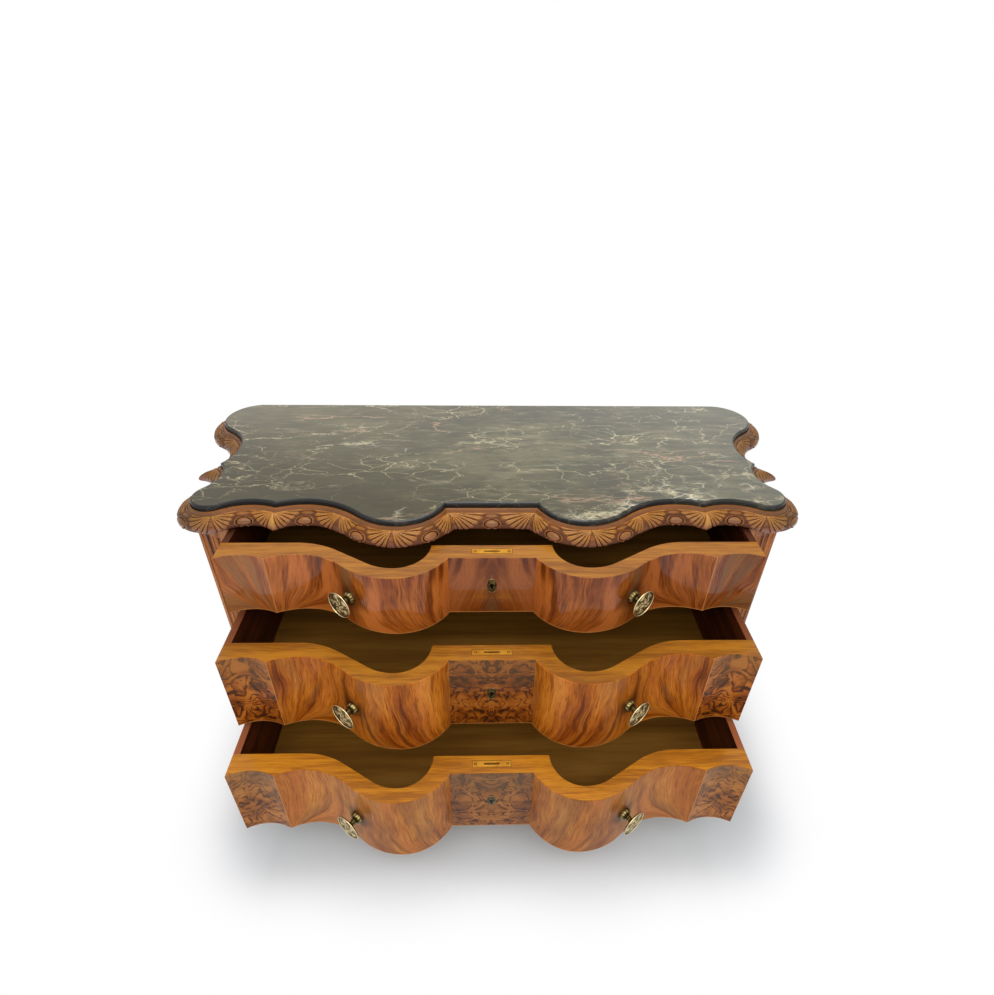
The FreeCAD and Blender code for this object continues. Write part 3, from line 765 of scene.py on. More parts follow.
def make_burr():
    where, seed = new_group("burr", Vector=None, Seed=0.0)
    spot = use(front_place, Vector=where)
    flat = join(spot["Along"], spot["Height"], seed)
    curled = bent(flat, noise(flat, 18.0, 2.0, 0.5, output="Color"), CURL)
    saw = calc("FRACT", noise(curled, 19.0, 2.0, 0.45, 0.4) * ISLAND_BANDS)
    fall = remap(saw, 1.0, 0.94)
    line = 1.0 - remap(saw, 0.0, 0.16) * fall
    kept = remap(noise(flat, 24.0, 2.0, 0.6), 0.38, 0.56)
    cells = add("TexVoronoi", {"Vector": curled, "Scale": 85.0}, output="Distance", feature="F1")
    crowd = remap(noise(flat, 30.0, 2.0), 0.54, 0.62)
    return finish_group(Band=remap(saw, 0.0, 0.45) * fall, Outline=line * kept, Panel=spot["Panel"],
                        Cloud=noise(flat, 26.0, 4.0, 0.62, 0.6), Eyes=remap(cells, 0.26, 0.12) * crowd)


burr = make_burr()

# %% Finish: burr
BURR_DARK = paint(44, 20, 8)
BURR_PAINTED_SHEEN = paint(130, 98, 60)
BURR_PLACES = (0.0, 0.3, 0.6, 0.85, 1.0)


def make_burr_finish(name, foot, top, seed, looks):
    """Burr veneer for one drawer. Its upper part is painted greyer, a painted sheen."""
    material, shader, where = new_veneer(name, looks["coat"])
    figure = use(burr, Vector=where, Seed=seed)
    share = figure["Cloud"] * 1.2 + figure["Band"] * 0.3
    colour = ramp(remap(share, 0.50, 1.04), BURR_PLACES, looks["burr"])
    level = (split(where)[2] - foot) / (top - foot)
    for mask, tone in (
        (figure["Outline"] * looks["outline"], BURR_DARK),
        (figure["Eyes"] * looks["outline"], BURR_DARK),
        # Painted sheen: the upper part of the panel is blended toward grey.
        (remap(level, 0.35, 1.0) * looks["painted sheen"], BURR_PAINTED_SHEEN),
        # The middle panel, set back between the bulges, is painted darker: painted shade.
        (figure["Panel"] * 0.28, BURR_DARK),
    ):
        colour = blend(mask, colour, tone)
    feed(shader, Base_Color=inlaid(where, colour, foot), Roughness=figure["Cloud"] * 0.12 + 0.42,
         Normal=bump(figure["Band"], 0.05 * MM))
    return material


# %% [markdown]
# ## Plain woods
# Rails, sides, posts, feet and the boxes of the drawers are plain wood. One function makes them
# all: it is told which way the grain runs, three colours from dark to light, and how strong the
# pores are. The insides of the drawers are painted darker the less light falls into them: painted
# shade.

# %% Finish: plain wood
THREE_PLACES = (0.0, 0.5, 1.0)


def make_wood(name, axis, colours, bands=40.0, seed=0.0, roughness=0.45, pores=0.35, coat=0.0,
              spread=0.3, upper=None):
    """Plain wood whose grain runs along an axis. Faces that look up may have a colour of their own: partly
    the wood of a polished edge, partly painted light from above.
    """
    material, shader, where = new_material(
        name, Coat_Weight=coat, Coat_Roughness=0.12, Specular_IOR_Level=0.2)
    x, y, z = split(where)
    order = {"X": (x, y, z), "Y": (y, x, z), "Z": (z, x, y)}[axis]
    parts = use(grain, Vector=join(*order), Bands=bands, Seed=seed)
    share = (parts["Fine"] - 0.5) * spread + parts["Streak"]
    colour = ramp(remap(share, 0.33, 0.67), THREE_PLACES, colours)
    colour = blend(parts["Pores"] * pores, colour, colours[0])
    if upper is not None:
        lit = blend(parts["Streak"] * 0.5, upper, colours[2])
        colour = blend(remap(facing_up(where.tree), 0.6, 0.9), colour, lit)
    feed(shader, Base_Color=colour, Roughness=parts["Streak"] * 0.12 + roughness,
         Normal=bump(parts["Height"], 0.1 * MM))
    return material


# %% Looks of the drawers
DRAWERS = ("top", "middle", "bottom")
DRAWN = {name: OPENED[name + "_drawer"] for name in DRAWERS}
# Edge, figure and burr colours are set for each drawer as shaded copies of the same woods: the higher drawers
# are painted darker, as painted shade.
LOOKS = {
    "top": {
        "edge": paints((122, 72, 14), (146, 90, 19), (160, 104, 27)),
        "figure": paints((80, 28, 4), (120, 55, 10), (148, 76, 18), (170, 94, 30), (188, 112, 48)),
        "coat": 0.5, "hues": 0.74, "lines": 0.3, "painted light left": 0.13, "painted shade right": 0.24, "light": 0.4,
    },
    "middle": {
        "edge": paints((124, 72, 9), (146, 90, 12), (162, 104, 18)),
        "figure": paints((98, 38, 4), (144, 72, 10), (168, 92, 18), (188, 110, 28), (204, 128, 46)),
        "burr": paints((60, 27, 6), (94, 46, 10), (132, 66, 12), (158, 84, 18), (176, 104, 34)),
        "coat": 0.12, "hues": 0.3, "lines": 0.42, "painted light left": 0.0, "painted shade right": 0.04, "light": 0.75,
        "outline": 0.74, "painted sheen": 0.4,
    },
    "bottom": {
        "edge": paints((142, 84, 9), (169, 104, 12), (186, 120, 18)),
        "figure": paints((104, 50, 8), (144, 80, 20), (166, 98, 28), (184, 116, 42), (196, 134, 60)),
        "burr": paints((72, 38, 14), (104, 58, 20), (136, 78, 26), (158, 94, 32), (174, 110, 46)),
        "coat": 0.18, "hues": 0.34, "lines": 0.24, "painted light left": 0.0, "painted shade right": 0.12, "light": 0.95,
        "outline": 0.3, "painted sheen": 0.46,
    },
}
SIDE_TONES = paints((62, 24, 8), (88, 38, 14), (110, 52, 22))
SIDE_UPPER = paints((166, 96, 56))
FLOOR_TONES = paints((128, 84, 28), (148, 100, 35), (166, 116, 46))
print("drawn out, m:", {name: round(reach, 4) for name, reach in DRAWN.items()})

# %% Dress the drawers
for number, name in enumerate(DRAWERS):
    looks = LOOKS[name]
    light = looks["light"]
    prefix = name + "_drawer_"
    low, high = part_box(prefix + "centre_veneer")
    knob_low, knob_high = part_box(prefix + "knobs")
    knob_z = (knob_low.z + knob_high.z) / 2
    figured = make_figured("figured_walnut_" + name, low.z, high.z, knob_z, 3.1 * number + 1.7, looks)
    ends_and_centre = figured
    if "burr" in looks:
        ends_and_centre = make_burr_finish("walnut_burr_" + name, low.z, high.z, 2.3 * number, looks)
    edge = make_wood("edge_wood_" + name, "X", looks["edge"], bands=60.0, seed=number,
                     roughness=0.36, pores=0.2, coat=0.32, spread=0.6)
    # Sides, back and bottom of each box are shaded copies: their colours are scaled by the drawer's light as
    # painted shade, the upper edges twice over.
    side_wood = make_wood("drawer_side_wood_" + name, "Y", shaded(SIDE_TONES, light), bands=50.0,
                          upper=shaded(SIDE_UPPER, light * light)[0])
    floor_wood = make_wood("drawer_floor_wood_" + name, "X", shaded(FLOOR_TONES, light), bands=16.0)
    dress(figured, prefix + "flank_veneers")
    dress(ends_and_centre, prefix + "end_veneers", prefix + "centre_veneer")
    dress(edge, prefix + "front")
    dress(side_wood, prefix + "left_side", prefix + "right_side", prefix + "back")
    dress(floor_wood, prefix + "bottom")

# %% Dress the case
WALNUT_TONES = paints((96, 46, 14), (160, 92, 36), (196, 124, 58))
PINE_TONES = paints((90, 62, 34), (134, 98, 58), (160, 124, 80))
walnut_upright = make_wood("case_walnut_upright", "Z", WALNUT_TONES, bands=55.0, coat=0.3)
walnut_level = make_wood("case_walnut_level", "X", WALNUT_TONES, bands=55.0, seed=4.0, coat=0.5)
pine = make_wood("case_pine", "X", PINE_TONES, bands=24.0)
dress(walnut_upright, "left_side", "right_side", "left_front_post", "right_front_post")
dress(walnut_level, "upper_rail", "lower_rail", "base_moulding", "front_feet", "back_feet")
dress(pine, "sub_top", "back_posts", "back_panel", "upper_runners", "lower_runners",
      "bottom_guides", "bottom_board")

# %% [markdown]
# ## Marble
# The stone is nearly black, with a polish that mirrors the room, so it looks olive from above.
# Along its edge a painted dark blue-grey reflection of the room below lies over its colour, a pale
# painted reflection grows over the top toward the right and back, and the front left is painted
# darker as a darker painted reflection. Fine cream veins branch and mostly run from left to
# right: some are borders of stretched cells, others level lines of a stretched noise, which
# wander like healed cracks. A few places are crushed and full of white flecks. Each is too faint
# to be seen alone, and together they give the web seen on the stone.


# %% Group: veins
def make_veins():
    where, scale, width, bend, seed, presence = new_group(
        "veins", Vector=None, Scale=5.0, Width=0.01, Bend=0.1, Seed=0.0, Presence=0.5)
    spot = shifted(where, seed)
    curled = bent(spot, noise(spot, 9.0, 5.0, 0.65, output="Color"), bend)
    border = add("TexVoronoi", {"Vector": curled, "Scale": scale}, output="Distance",
                 feature="DISTANCE_TO_EDGE")
    edge = 1.0 - presence
    kept = remap(noise(spot, 8.0, 4.0, 0.6), edge - 0.06, edge + 0.12)
    return finish_group(Vein=remap(border, width, 0.0) * kept)


veins = make_veins()


# %% Healed cracks
def crack_lines(where, scale, width, seed):
    spot = shifted(where, seed)
    line = remap(abs(noise(spot, scale, 6.0, 0.6) - 0.5), width, 0.0)
    return line * remap(noise(spot, scale * 1.7, 3.0, 0.6), 0.46, 0.60)


# %% Finish: marble
STONE_TONES = paints((60, 56, 34), (78, 74, 47), (98, 92, 62))
STREAK_PALE = paint(132, 124, 96)
STREAK_DARK = paint(44, 42, 28)
PAINTED_PALE_REFLECTION = paint(94, 94, 84)
STONE_WARM = paint(82, 72, 36)
PAINTED_DARK_REFLECTION = paint(48, 42, 22)
PAINTED_EDGE_REFLECTION = paint(22, 26, 32)
VEIN_CREAM = paint(200, 188, 150)
VEIN_BROWN = paint(180, 142, 114)
VEIN_WHITE = paint(232, 228, 212)


def drawn_out(where, long, turn):
    """A place squeezed along X, so that a pattern on it is drawn out from left to right."""
    return add("Mapping", {"Vector": where, "Scale": (long, 1.0, 1.0), "Rotation": (0, 0, turn)})


def make_marble():
    material, shader, where = new_material(
        "polished_marble", Roughness=0.3, Specular_IOR_Level=0.24, Coat_Roughness=0.04)
    x, y, _ = split(where)
    facing = facing_up(where.tree)
    wide = drawn_out(where, 0.5, 0.06)
    wider = drawn_out(where, 0.22, -0.05)
    colour = ramp(remap(noise(wide, 12.0, 5.0, 0.66), 0.32, 0.68), THREE_PLACES, STONE_TONES)
    streaks = noise(wider, 64.0, 5.0, 0.72)
    dark_reflection_share = remap(x * 0.4 + y, 0.14, -0.16)
    lift = remap(y, -0.1, 0.3, 1.0, 1.8)
    layers = [
        (remap(streaks, 0.52, 0.68, 0.0, 0.65), STREAK_PALE),
        (remap(streaks, 0.48, 0.34, 0.0, 0.55), STREAK_DARK),
        # Painted reflection: the stone is blended paler toward the right and back.
        (remap(y * 0.6 + x, 0.0, 0.8, 0.0, 0.4), PAINTED_PALE_REFLECTION),
        (remap(x, 0.15, -0.45, 0.0, 0.4), STONE_WARM),
        # Painted darker reflection: the front left of the stone is blended darker.
        (dark_reflection_share * 0.8, PAINTED_DARK_REFLECTION),
    ]
    for place, scale, width, bend, seed, presence, share, tone in (
        (wide, 28.0, 0.028, 0.07, 2.0, 0.50, 0.36, VEIN_CREAM),
        (wide, 11.0, 0.010, 0.14, 5.0, 0.43, 0.46, VEIN_CREAM),
        (wider, 11.0, 0.016, 0.10, 9.0, 0.50, 0.44, VEIN_BROWN),
    ):
        vein = use(veins, Vector=place, Scale=scale, Width=width, Bend=bend, Seed=seed, Presence=presence)
        layers.append((vein["Vein"] * share * lift, tone))
    crushed = remap(x * 0.12 + noise(wide, 7.0, 3.0, 0.6), 0.58, 0.66)
    milk = remap(noise(wide, 52.0, 5.0, 0.75), 0.50, 0.62)
    web = use(veins, Vector=wide, Scale=60.0, Width=0.08, Bend=0.03, Seed=7.0, Presence=0.50)
    layers += [
        (crack_lines(wider, 8.0, 0.006, 1.0) * 0.4 * lift, VEIN_CREAM),
        (milk * crushed * 0.55, VEIN_CREAM),
        (web["Vein"] * crushed * 0.6, VEIN_WHITE),
    ]
    for mask, tone in layers:
        colour = blend(mask, colour, tone)
    # Painted reflection: faces that do not look straight up are blended toward a dark blue-grey.
    edge = blend(0.85, colour, PAINTED_EDGE_REFLECTION)
    film = (0.75 - dark_reflection_share * 0.4) * remap(facing, 0.96, 0.9995, 0.08, 1.0)
    feed(shader, Base_Color=blend(remap(facing, 0.93, 0.999), edge, colour), Coat_Weight=film)
    return material


dress(make_marble(), "marble_top")

# %% [markdown]
# ## Lock plates and brass
# The lock plates are bright brass let into the top edges, with a dark joint round them, a slot
# for the bolt and a screw at each end. They are flat, so a few distances from the middle of the
# plate draw all of it. Knobs and keyhole plates are cast brass that has gone dark in its
# hollows, and they are made further down.

# %% Finish: lock plate
PLATE_HALF = 37.5 * MM
PLATE_DEEP = 7.0 * MM
JOINT = 0.9 * MM
SLOT_HALF = 15.0 * MM
SLOT_DEEP = 1.7 * MM
SCREW_AT = 31.0 * MM
SCREW_R = 2.6 * MM
SCREW_RING = 0.5 * MM
SCREW_CUT = 0.4 * MM


def make_lock_plate(name, middle_y):
    material, shader, where = new_material(name, Metallic=0.85)
    x, y, _ = split(where)
    x = abs(x)
    off = abs(y - middle_y)
    cloud = noise(where, 60.0, 4.0, 0.6)
    colour = blend(remap(cloud, 0.4, 0.7), paint(206, 150, 48), paint(178, 118, 34))
    inner = (x < PLATE_HALF - JOINT) * (off < PLATE_DEEP - JOINT)
    slot = (x < SLOT_HALF) * (off < SLOT_DEEP)
    reach = distance(x - SCREW_AT, off)
    ring = abs(reach - SCREW_R) < SCREW_RING
    cut = (off < SCREW_CUT) * (reach < SCREW_R)
    # The bolt slot and the screw cuts are painted dark, as painted shade; the rings round the screws and the
    # line round the plate are dark joints.
    dark = higher(higher(slot, ring), higher(cut, 1.0 - inner))
    feed(shader, Base_Color=blend(dark * 0.85, colour, paint(44, 24, 8)), Roughness=cloud * 0.25 + 0.25)
    return material


for name in DRAWERS:
    low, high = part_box(name + "_drawer_lock")
    plate = make_lock_plate("lock_plate_" + name, high.y - PLATE_DEEP)
    dress(plate, name + "_drawer_lock", name + "_drawer_bolt")

# %% Finish: aged brass
CAST_PLACES = (0.0, 0.23, 0.5, 0.77, 1.0)
CAST_TONES = paints((18, 14, 8), (58, 48, 28), (112, 98, 60), (160, 140, 90), (220, 202, 158))


def make_aged_brass():
    """Cast brass whose hollows are dark. Its pieces store how high each point stands."""
    material, shader, where = new_material("aged_brass", Metallic=1.0)
    cloud = noise(where, 220.0, 4.0, 0.6)
    worn = (cloud - 0.5) * 0.9 + stored(where.tree, "relief")
    feed(shader, Base_Color=ramp(remap(worn, -0.3, 1.0), CAST_PLACES, CAST_TONES),
         Roughness=cloud * 0.2 + 0.24, Normal=bump(noise(where, 500.0), 0.1 * MM))
    return material


aged_brass = make_aged_brass()

# %% [markdown]
# ## Carved cornice
# The moulding round the stone is carved along its whole length: fans of petals that spring
# from under a thin bead, with a smooth oval lying in a ring between each two. It could be a
# bump, but the petals break the outline, so they are cut in the mesh. A flat grid is made
# first. Its long way is then bent along the plan and its short way round the section of the
# moulding, and each point is pushed in or out by the depth of the carving.

# %% Section of the cornice
CORNICE_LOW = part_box("cornice_front")[0].z
STONE_SIDE = -14.4
LIP = [(STONE_SIDE, 0.0), (STONE_SIDE, 32.4), (-13.6, 33.2), (-11.5, 33.3), (-9.6, 32.4), (-8.6, 30.0)]
FILLET = [(-7.8, 27.5), (-7.3, 27.9), (-6.6, 28.2), (-5.9, 28.0), (-5.5, 27.4)]
OVOLO_START = (-5.3, 26.9)
OVOLO_WIDTH = 21.3
OVOLO_HEIGHT = 19.9
OVOLO_STEPS = 26
BELLY = [(15.7, 5.0), (14.8, 2.9), (12.9, 1.2), (9.6, 0.2)]
UNDERSIDE = [(3.0, 0.0), (STONE_SIDE, 0.0)]


def make_section():
    """Points of the section in mm as offset and height, with how far down the carving each lies."""
    carved = []
    for step in range(OVOLO_STEPS + 1):
        angle = math.pi / 2 * (step / OVOLO_STEPS)
        carved.append((OVOLO_START[0] + OVOLO_WIDTH * math.sin(angle),
                       OVOLO_START[1] - OVOLO_HEIGHT * (1 - math.cos(angle))))
    points = [(*point, None) for point in LIP + FILLET]
    down = 0.0
    last = OVOLO_START
    for point in carved + BELLY:
        down += math.dist(point, last)
        last = point
        points.append((*point, down))
    return points + [(*point, None) for point in UNDERSIDE]


section = make_section()
CARVED_DEPTH = max(point[2] for point in section if point[2] is not None)
print("section of the cornice:", len(section), "points,", round(CARVED_DEPTH, 1), "mm carved")

# %% [markdown]
# The carver sets out the fans and ovals along the front first. Petals are straight grooves that
# run from one point under the bead, so the angle at that point tells the petal, and the angle
# within the petal tells how high the wood stands: a ridge at each side and a shallow hollow
# between. Each point also gets a number for how golden the wood is there, for the finish.

# %% Carving: ovals
FANS = [75, 202, 322, 450, 564, 690, 818, 935, 1050, 1165]
OVALS = [0, 129, 268, 388, 507, 628, 756, 880, 993, 1108]
CUSP_FAN = 450
OVAL_DOWN = 24.5
OVAL_LONG = 13.5
OVAL_HIGH = 8.6
OVAL_DOME = 3.2
RING = (1.12, 1.36)
RING_HIGH = 1.7
TONGUE_DOWN = 6.5
TONGUE_LONG = 12.5
TONGUE_HIGH = 4.0
TONGUE_DOME = 1.8
GROUND = -1.4


def oval_height(along, down):
    """A smooth oval in a thin ring: height and how golden, or nothing outside it."""
    off = min(abs(along - centre) for centre in OVALS)
    reach = math.hypot(off / OVAL_LONG, (down - OVAL_DOWN) / OVAL_HIGH)
    if reach < 1.0:
        return GROUND + OVAL_DOME * math.sqrt(1 - reach ** 2), 0.28
    if reach < RING[0]:
        return GROUND - 1.0, 0.0
    if reach < RING[1]:
        return GROUND + RING_HIGH * math.sin(math.pi * (reach - RING[0]) / (RING[1] - RING[0])), 0.45
    tongue = math.hypot(off / TONGUE_LONG, (down - TONGUE_DOWN) / TONGUE_HIGH)
    if tongue < 1.0:
        return GROUND + TONGUE_DOME * math.sqrt(1 - tongue ** 2), 0.3
    return None


# %% Carving: fans
PETALS = 5.5
CUT = 2.4
FOCUS_UP = 2.0
LAST_GAP = 60.0


def fan_height(along, down):
    """Petals that spring from under the bead: height and how golden, or nothing outside them."""
    centre = min(FANS, key=lambda place: abs(along - place))
    on_cusp = centre == CUSP_FAN
    side = [place for place in OVALS if (place - centre) * (along - centre) > 0]
    gap = min(abs(place - centre) for place in side) if side else LAST_GAP
    half = gap - OVAL_LONG * (0.75 + 0.6 * min(down / OVAL_DOWN, 1.0))
    off = abs(along - centre)
    drop = down + FOCUS_UP
    angle = math.atan2(off, drop)
    middle = math.radians(20 if on_cusp else 13)
    reach = math.hypot(off / half, drop / (CARVED_DEPTH + FOCUS_UP + 3.0))
    if angle < middle:
        across = angle / middle
        ridge = 0.9 if on_cusp else 0.1
        height = ridge * (1 - across) - CUT * max(across - 0.78, 0) / 0.22
        tip = 1.05
        golden = 1.0 if on_cusp else 0.1
    else:
        petal_turn = (math.pi / 2 - middle) / PETALS
        across = abs(((angle - middle) / petal_turn % 1.0) * 2 - 1)
        cut = min(CUT, math.hypot(off, drop) * petal_turn * 0.42)
        hollow = 0.22 * cut * math.exp(-(across / 0.25) ** 2)
        height = -hollow - cut * max(across - 0.5, 0) / 0.5
        tip = 1.0 - 0.16 * across ** 2
        golden = 1.0 - 0.6 * max(down / CARVED_DEPTH - 0.55, 0) / 0.45
    if reach > tip:
        return None
    edge = min((tip - reach) / 0.10, 1.0)
    return GROUND + (height - GROUND) * math.sqrt(max(1 - (1 - edge) ** 2, 0.0)), golden


def carve(along, down):
    """How far the carving stands out of the moulding's body in mm, and how golden it is."""
    soft = max(min(down / 1.5, (CARVED_DEPTH - down) / 3.0, 1.0), 0.0)
    height, golden = oval_height(along, down) or fan_height(along, down) or (GROUND, 0.3)
    return height * soft, golden


print("in the middle of an oval:", [round(value, 2) for value in carve(OVALS[1], OVAL_DOWN)])

# %% Bend the grid into a moulding
CARVED_LINE = 10 * MM
CORNICE_STEP = 1.25 * MM
WELD = 0.02 * MM


def normal_of(index):
    """The way that faces out of the section at one of its points."""
    before = section[max(index - 1, 0)]
    after = section[min(index + 1, len(section) - 1)]
    out, up = after[0] - before[0], after[1] - before[1]
    size = math.hypot(out, up) or 1.0
    return -up / size, out / size


def columns_of(stretches, back):
    """Evenly spaced places along some stretches: stretch, share and length from the middle."""
    lengths = stretch_lengths(CARVED_LINE, back)
    start = sum(lengths[:stretches[0]])
    columns = []
    for stretch in stretches:
        count = max(round(lengths[stretch] / CORNICE_STEP), 2)
        for index in range(count):
            columns.append((stretch, index / count, start + lengths[stretch] * index / count))
        start += lengths[stretch]
    columns.append((stretches[-1], 1.0, start))
    return columns


def make_moulding(stretches, back):
    columns = columns_of(stretches, back)
    rows = len(section)
    build = bmesh.new()
    bmesh.ops.create_grid(build, x_segments=len(columns) - 1, y_segments=rows - 1, size=1.0)
    relief = build.verts.layers.float.new("relief")
    golden = build.verts.layers.float.new("golden")
    facing = [normal_of(index) for index in range(rows)]
    order = sorted(build.verts, key=lambda vert: (round(vert.co.y, 4), vert.co.x))
    for index, vert in enumerate(order):
        row, column = divmod(index, len(columns))
        stretch, share, along = columns[column]
        out, up, down = section[row]
        height, vert[golden] = (0.0, 0.2) if down is None else carve(along / MM, down)
        vert[relief] = height
        out += facing[row][0] * height
        up += facing[row][1] * height
        x, y = plan_point(out * MM, stretch, share, back)
        vert.co = (x, y, CORNICE_LOW + up * MM)
    bmesh.ops.remove_doubles(build, verts=build.verts, dist=WELD)
    return build


# %% Close, mirror and finish a mesh
def close_ends(build):
    edges = [edge for edge in build.edges if edge.is_boundary]
    bmesh.ops.holes_fill(build, edges=edges, sides=0)


def mirror_over_middle(build):
    geometry = build.verts[:] + build.edges[:] + build.faces[:]
    bmesh.ops.mirror(build, geom=geometry, axis="X", merge_dist=0.0)


def finish_piece(build, name, smooth_angle):
    """Turns a bmesh into an object with soft shading and sharp edges where it turns hard."""
    bmesh.ops.recalc_face_normals(build, faces=build.faces)
    for face in build.faces:
        face.smooth = True
    for edge in build.edges:
        if len(edge.link_faces) == 2 and edge.calc_face_angle(0) > math.radians(smooth_angle):
            edge.smooth = False
    mesh = bpy.data.meshes.new(name)
    build.to_mesh(mesh)
    build.free()
    print(name, "faces", len(mesh.polygons))
    return show(name, mesh)


# %% Front and sides of the cornice
def make_front_cornice():
    build = make_moulding([0, 1, 2, 3, 4, 5], CASE_DEPTH)
    mirror_over_middle(build)
    bmesh.ops.remove_doubles(build, verts=build.verts, dist=WELD)
    close_ends(build)
    return finish_piece(build, "carved_cornice_front", 40)


def make_side_cornices():
    build = make_moulding([6, 7, 8, 9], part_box("cornice_sides")[1].y - FRONT_Y)
    close_ends(build)
    mirror_over_middle(build)
    return finish_piece(build, "carved_cornice_sides", 40)


# %% [markdown]
# The carving's finish reads the numbers that were stored with each point: cut grooves are painted
# dark, as painted shade, high places get a painted highlight, and petals are more golden than the
# rest. The round corners and the sides are painted darker than the front, as painted shade, and
# faces of the belly that look down get a pale pink painted reflection of the floor. The polish is
# thick on the belly, where hands pass, and missing in the grooves.

# %% Finish: carved walnut
CARVED_TONES = paints((74, 36, 14), (94, 48, 19), (112, 60, 25))


def make_carved_walnut():
    material, shader, where = new_material("carved_walnut", Coat_Roughness=0.12, Specular_IOR_Level=0.12)
    parts = use(grain, Vector=where, Bands=60.0, Seed=7.0)
    relief = stored(where.tree, "relief")
    golden = stored(where.tree, "golden")
    facing = facing_up(where.tree)
    deep = remap(relief, -0.85, -1.9)
    colour = ramp(remap(parts["Streak"], 0.35, 0.65), THREE_PLACES, CARVED_TONES)
    for mask, tone in (
        (golden * 0.62, paint(148, 94, 32)),
        # Painted highlight on the high places of the carving.
        (remap(relief, -0.5, 0.05) * golden * 0.45, paint(214, 158, 84)),
        # Grooves painted dark: painted shade.
        (deep * 0.92, paint(30, 13, 5)),
        # Corners and sides of the cornice painted darker: painted shade.
        (remap(abs(split(where)[0]), 0.49, 0.575) * 0.45, paint(76, 62, 44)),
        (parts["Pores"] * 0.25, paint(50, 24, 10)),
        # Down-facing belly painted pale pink: a painted reflection of the floor.
        (remap(facing, 0.45, 0.05) * (1.0 - deep) * 0.45, paint(166, 112, 98)),
    ):
        colour = blend(mask, colour, tone)
    film = remap(facing, 0.6, 0.1, 0.06, 0.8) + remap(relief, 0.3, 1.4, 0.0, 0.3)
    feed(shader, Base_Color=colour, Roughness=deep * 0.4 + 0.32, Coat_Weight=film * (1.0 - deep * 0.9),
         Normal=bump(parts["Height"], 0.12 * MM))
    return material


carved_walnut = make_carved_walnut()
for piece, node in ((make_front_cornice(), "cornice_front"), (make_side_cornices(), "cornice_sides")):
    piece.data.materials.append(carved_walnut)
    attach(piece, "carcass")
    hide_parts(node)

# %% [markdown]
# ## Knobs
# A knob is a cast and turned piece: a petalled boss against the wood, a waisted stem, and a
# round face with a raised rim and a leafy relief. A profile is spun round the knob's axis, and
# the points of the boss and the face are then pushed by a pattern of the angle. The two knobs
# of a drawer are one piece, as the part has them.

# %% Profile of a knob
KNOB_PROFILE = [
    (0.0, -2.5), (11.6, -2.5), (12.6, -1.5), (13.2, 0.5), (13.4, 2.5), (13.0, 4.8), (12.0, 6.8),
    (10.2, 8.6), (8.0, 9.8), (6.2, 10.4), (5.2, 11.0), (5.0, 12.0), (6.0, 12.7), (6.2, 13.4),
    (5.4, 14.0), (4.6, 14.8), (4.6, 16.0), (5.4, 17.4), (7.0, 18.8), (9.0, 19.9), (12.0, 20.9),
    (16.0, 21.9), (20.0, 22.7), (23.6, 23.4), (26.0, 24.4), (26.8, 25.4), (27.0, 26.4), (26.7, 27.0),
    (26.2, 27.2), (25.8, 26.8), (25.4, 25.8), (24.6, 25.2), (22.8, 25.6), (20.4, 26.2), (18.0, 26.6),
    (15.4, 26.8), (13.2, 26.9), (11.0, 26.9), (9.0, 26.8), (7.0, 26.8), (5.0, 27.0), (3.0, 27.4),
    (1.4, 27.7), (0.0, 27.8),
]
print("knob:", KNOB_PROFILE[-1][1], "mm high over its foot,", len(KNOB_PROFILE), "points")

# %% Relief of a knob
KNOB_STEPS = 72
BOSS_PETALS = 12
BOSS_FROM_TO = (0.5, 10.0)
BOSS_PINCH = 0.07
FACE_LEAVES = 5
FACE_FROM = 25.3
FACE_R = 22.9


def face_relief(reach, angle):
    """Leaves that swirl round the face, in mm, for points within the rim."""
    swirl = math.sin(FACE_LEAVES * angle + 2.2 * math.sin(reach * 0.28))
    ribs = math.sin(3 * FACE_LEAVES * angle - reach * 0.35)
    inner = math.sin(2 * FACE_LEAVES * angle + reach * 0.9)
    fade = min(reach / 5.0, 1.0) * min((23.0 - reach) / 2.5, 1.0)
    return fade * (0.9 * max(swirl, -0.5) + 0.3 * ribs + 0.3 * inner)


def spun(points, steps):
    """A line of points spun round the Z axis, and the layer for its relief."""
    build = bmesh.new()
    relief = build.verts.layers.float.new("relief")
    verts = [build.verts.new(point) for point in points]
    edges = [build.edges.new(pair) for pair in zip(verts, verts[1:])]
    bmesh.ops.spin(build, geom=verts + edges, cent=(0, 0, 0), axis=(0, 0, 1), angle=2 * math.pi,
                   steps=steps, use_merge=True)
    bmesh.ops.remove_doubles(build, verts=build.verts, dist=0.001)
    return build, relief


def knob_body():
    build, relief = spun([(reach, 0, out) for reach, out in KNOB_PROFILE], KNOB_STEPS)
    bmesh.ops.recalc_face_normals(build, faces=build.faces)
    boss_low, boss_high = BOSS_FROM_TO
    for vert in build.verts:
        reach = math.hypot(vert.co.x, vert.co.y)
        angle = math.atan2(vert.co.y, vert.co.x)
        out = vert.co.z
        if out > FACE_FROM and reach < FACE_R:
            lift = face_relief(reach, angle)
            vert.co.z += lift
            vert[relief] = 0.5 + 0.45 * lift
        elif boss_low < out < boss_high and reach > 6.0:
            petal = abs(math.sin(BOSS_PETALS / 2 * angle))
            fade = math.sin(math.pi * (out - boss_low) / (boss_high - boss_low))
            share = 1 - BOSS_PINCH * fade * (1 - petal)
            vert.co.x *= share
            vert.co.y *= share
            vert[relief] = 0.15 + 0.35 * petal
        elif out > 26.2 and reach > 25.6:
            vert[relief] = 0.95
        elif 25 < out < 26.2 and reach > 23.0:
            vert[relief] = 0.1
        else:
            vert[relief] = 0.35
    return build


# %% Set the knobs down
KNOB_X = 257.98 * MM
KNOB_Y = FRONT_Y - 27.6 * MM
KNOB_LEAN = (0.595, -0.804)


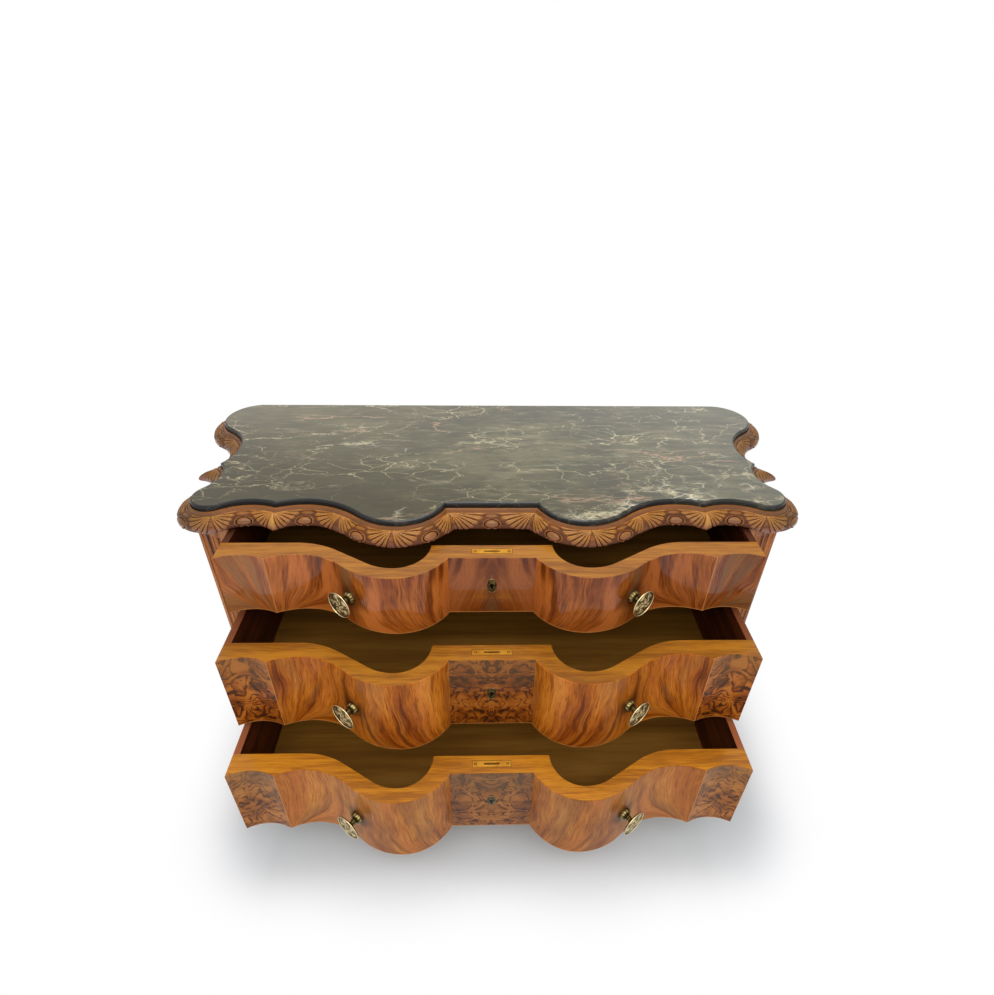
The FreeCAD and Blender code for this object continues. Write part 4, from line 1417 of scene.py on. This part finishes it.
def make_knobs(name):
    """Both knobs of a drawer, spun once and set down twice."""
    low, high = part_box(name + "_drawer_knobs")
    middle = (low.z + high.z) / 2
    mesh = bpy.data.meshes.new("knob")
    body = knob_body()
    body.to_mesh(mesh)
    body.free()
    build = bmesh.new()
    for side in (-1, 1):
        toward = Vector((side * KNOB_LEAN[0], KNOB_LEAN[1], 0)).normalized()
        flat = Vector((0, 0, 1)).cross(toward)
        turned = Matrix((flat, Vector((0, 0, 1)), toward)).transposed().to_4x4()
        spot = Matrix.Translation((side * KNOB_X, KNOB_Y - DRAWN[name], middle))
        before = len(build.verts)
        build.from_mesh(mesh)
        build.verts.ensure_lookup_table()
        added = build.verts[before:]
        bmesh.ops.transform(build, matrix=spot @ turned @ Matrix.Scale(MM, 4), verts=added)
    bpy.data.meshes.remove(mesh)
    return finish_piece(build, name + "_cast_knobs", 55)


# %% [markdown]
# ## Keyhole plates
# Each is a thin oval casting with a raised rim and a domed field, pierced by the keyhole. A
# round plate is spun from one arm and stretched to the oval, and rim, dome and hole are heights
# by distance. The plate covers the lock's own hole, so the hole is only a shallow hollow, painted
# dark as the painted shade of a deep hole.

# %% Shape of a keyhole plate
PLATE_RINGS = 14
PLATE_STEPS = 64
PLATE_THICK = 1.1
FIELD_HIGH = 0.5
RIM_FROM = 0.84
HOLE_DEEP = 1.0
BOW_R = 0.24
BOW_UP = 0.10
BIT_HALF = 0.22
BIT_LOW = -0.36


def plate_height(share):
    """Height over the wood in mm, from the middle (0) to the edge (1)."""
    if share > RIM_FROM:
        return PLATE_THICK * math.sqrt(max(1 - ((share - 0.92) / 0.08) ** 2, 0.0))
    if share > 0.72:
        return FIELD_HIGH
    return FIELD_HIGH + 1.1 * math.sqrt(1 - (share / 0.74) ** 2)


def make_escutcheon(name):
    low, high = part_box(name + "_drawer_escutcheon")
    half_x = (high.x - low.x) / 2
    half_z = (high.z - low.z) / 2
    middle = (low + high) / 2
    build, relief = spun([(index / PLATE_RINGS, 0, 0) for index in range(PLATE_RINGS + 1)], PLATE_STEPS)
    for vert in build.verts:
        wide, tall = vert.co.x, vert.co.y
        share = math.hypot(wide, tall)
        height = plate_height(share)
        in_bow = math.hypot(wide * half_x / half_z, tall - BOW_UP) < BOW_R
        in_bit = abs(wide) < BIT_HALF and BIT_LOW < tall < BOW_UP
        if in_bow or in_bit:
            height -= HOLE_DEEP
            # The keyhole's lowest relief paints it darkest: painted shade.
            vert[relief] = -0.6
        else:
            vert[relief] = 0.34 if share > RIM_FROM else 0.1 + 0.25 * (1 - share)
        vert.co = (middle.x + wide * half_x, high.y - height * MM, middle.z + tall * half_z)
    close_ends(build)
    return finish_piece(build, name + "_keyhole_plate", 60)


for name in DRAWERS:
    for piece, node in ((make_knobs(name), "_drawer_knobs"), (make_escutcheon(name), "_drawer_escutcheon")):
        piece.data.materials.append(aged_brass)
        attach(piece, name + "_drawer")
        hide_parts(name + node)
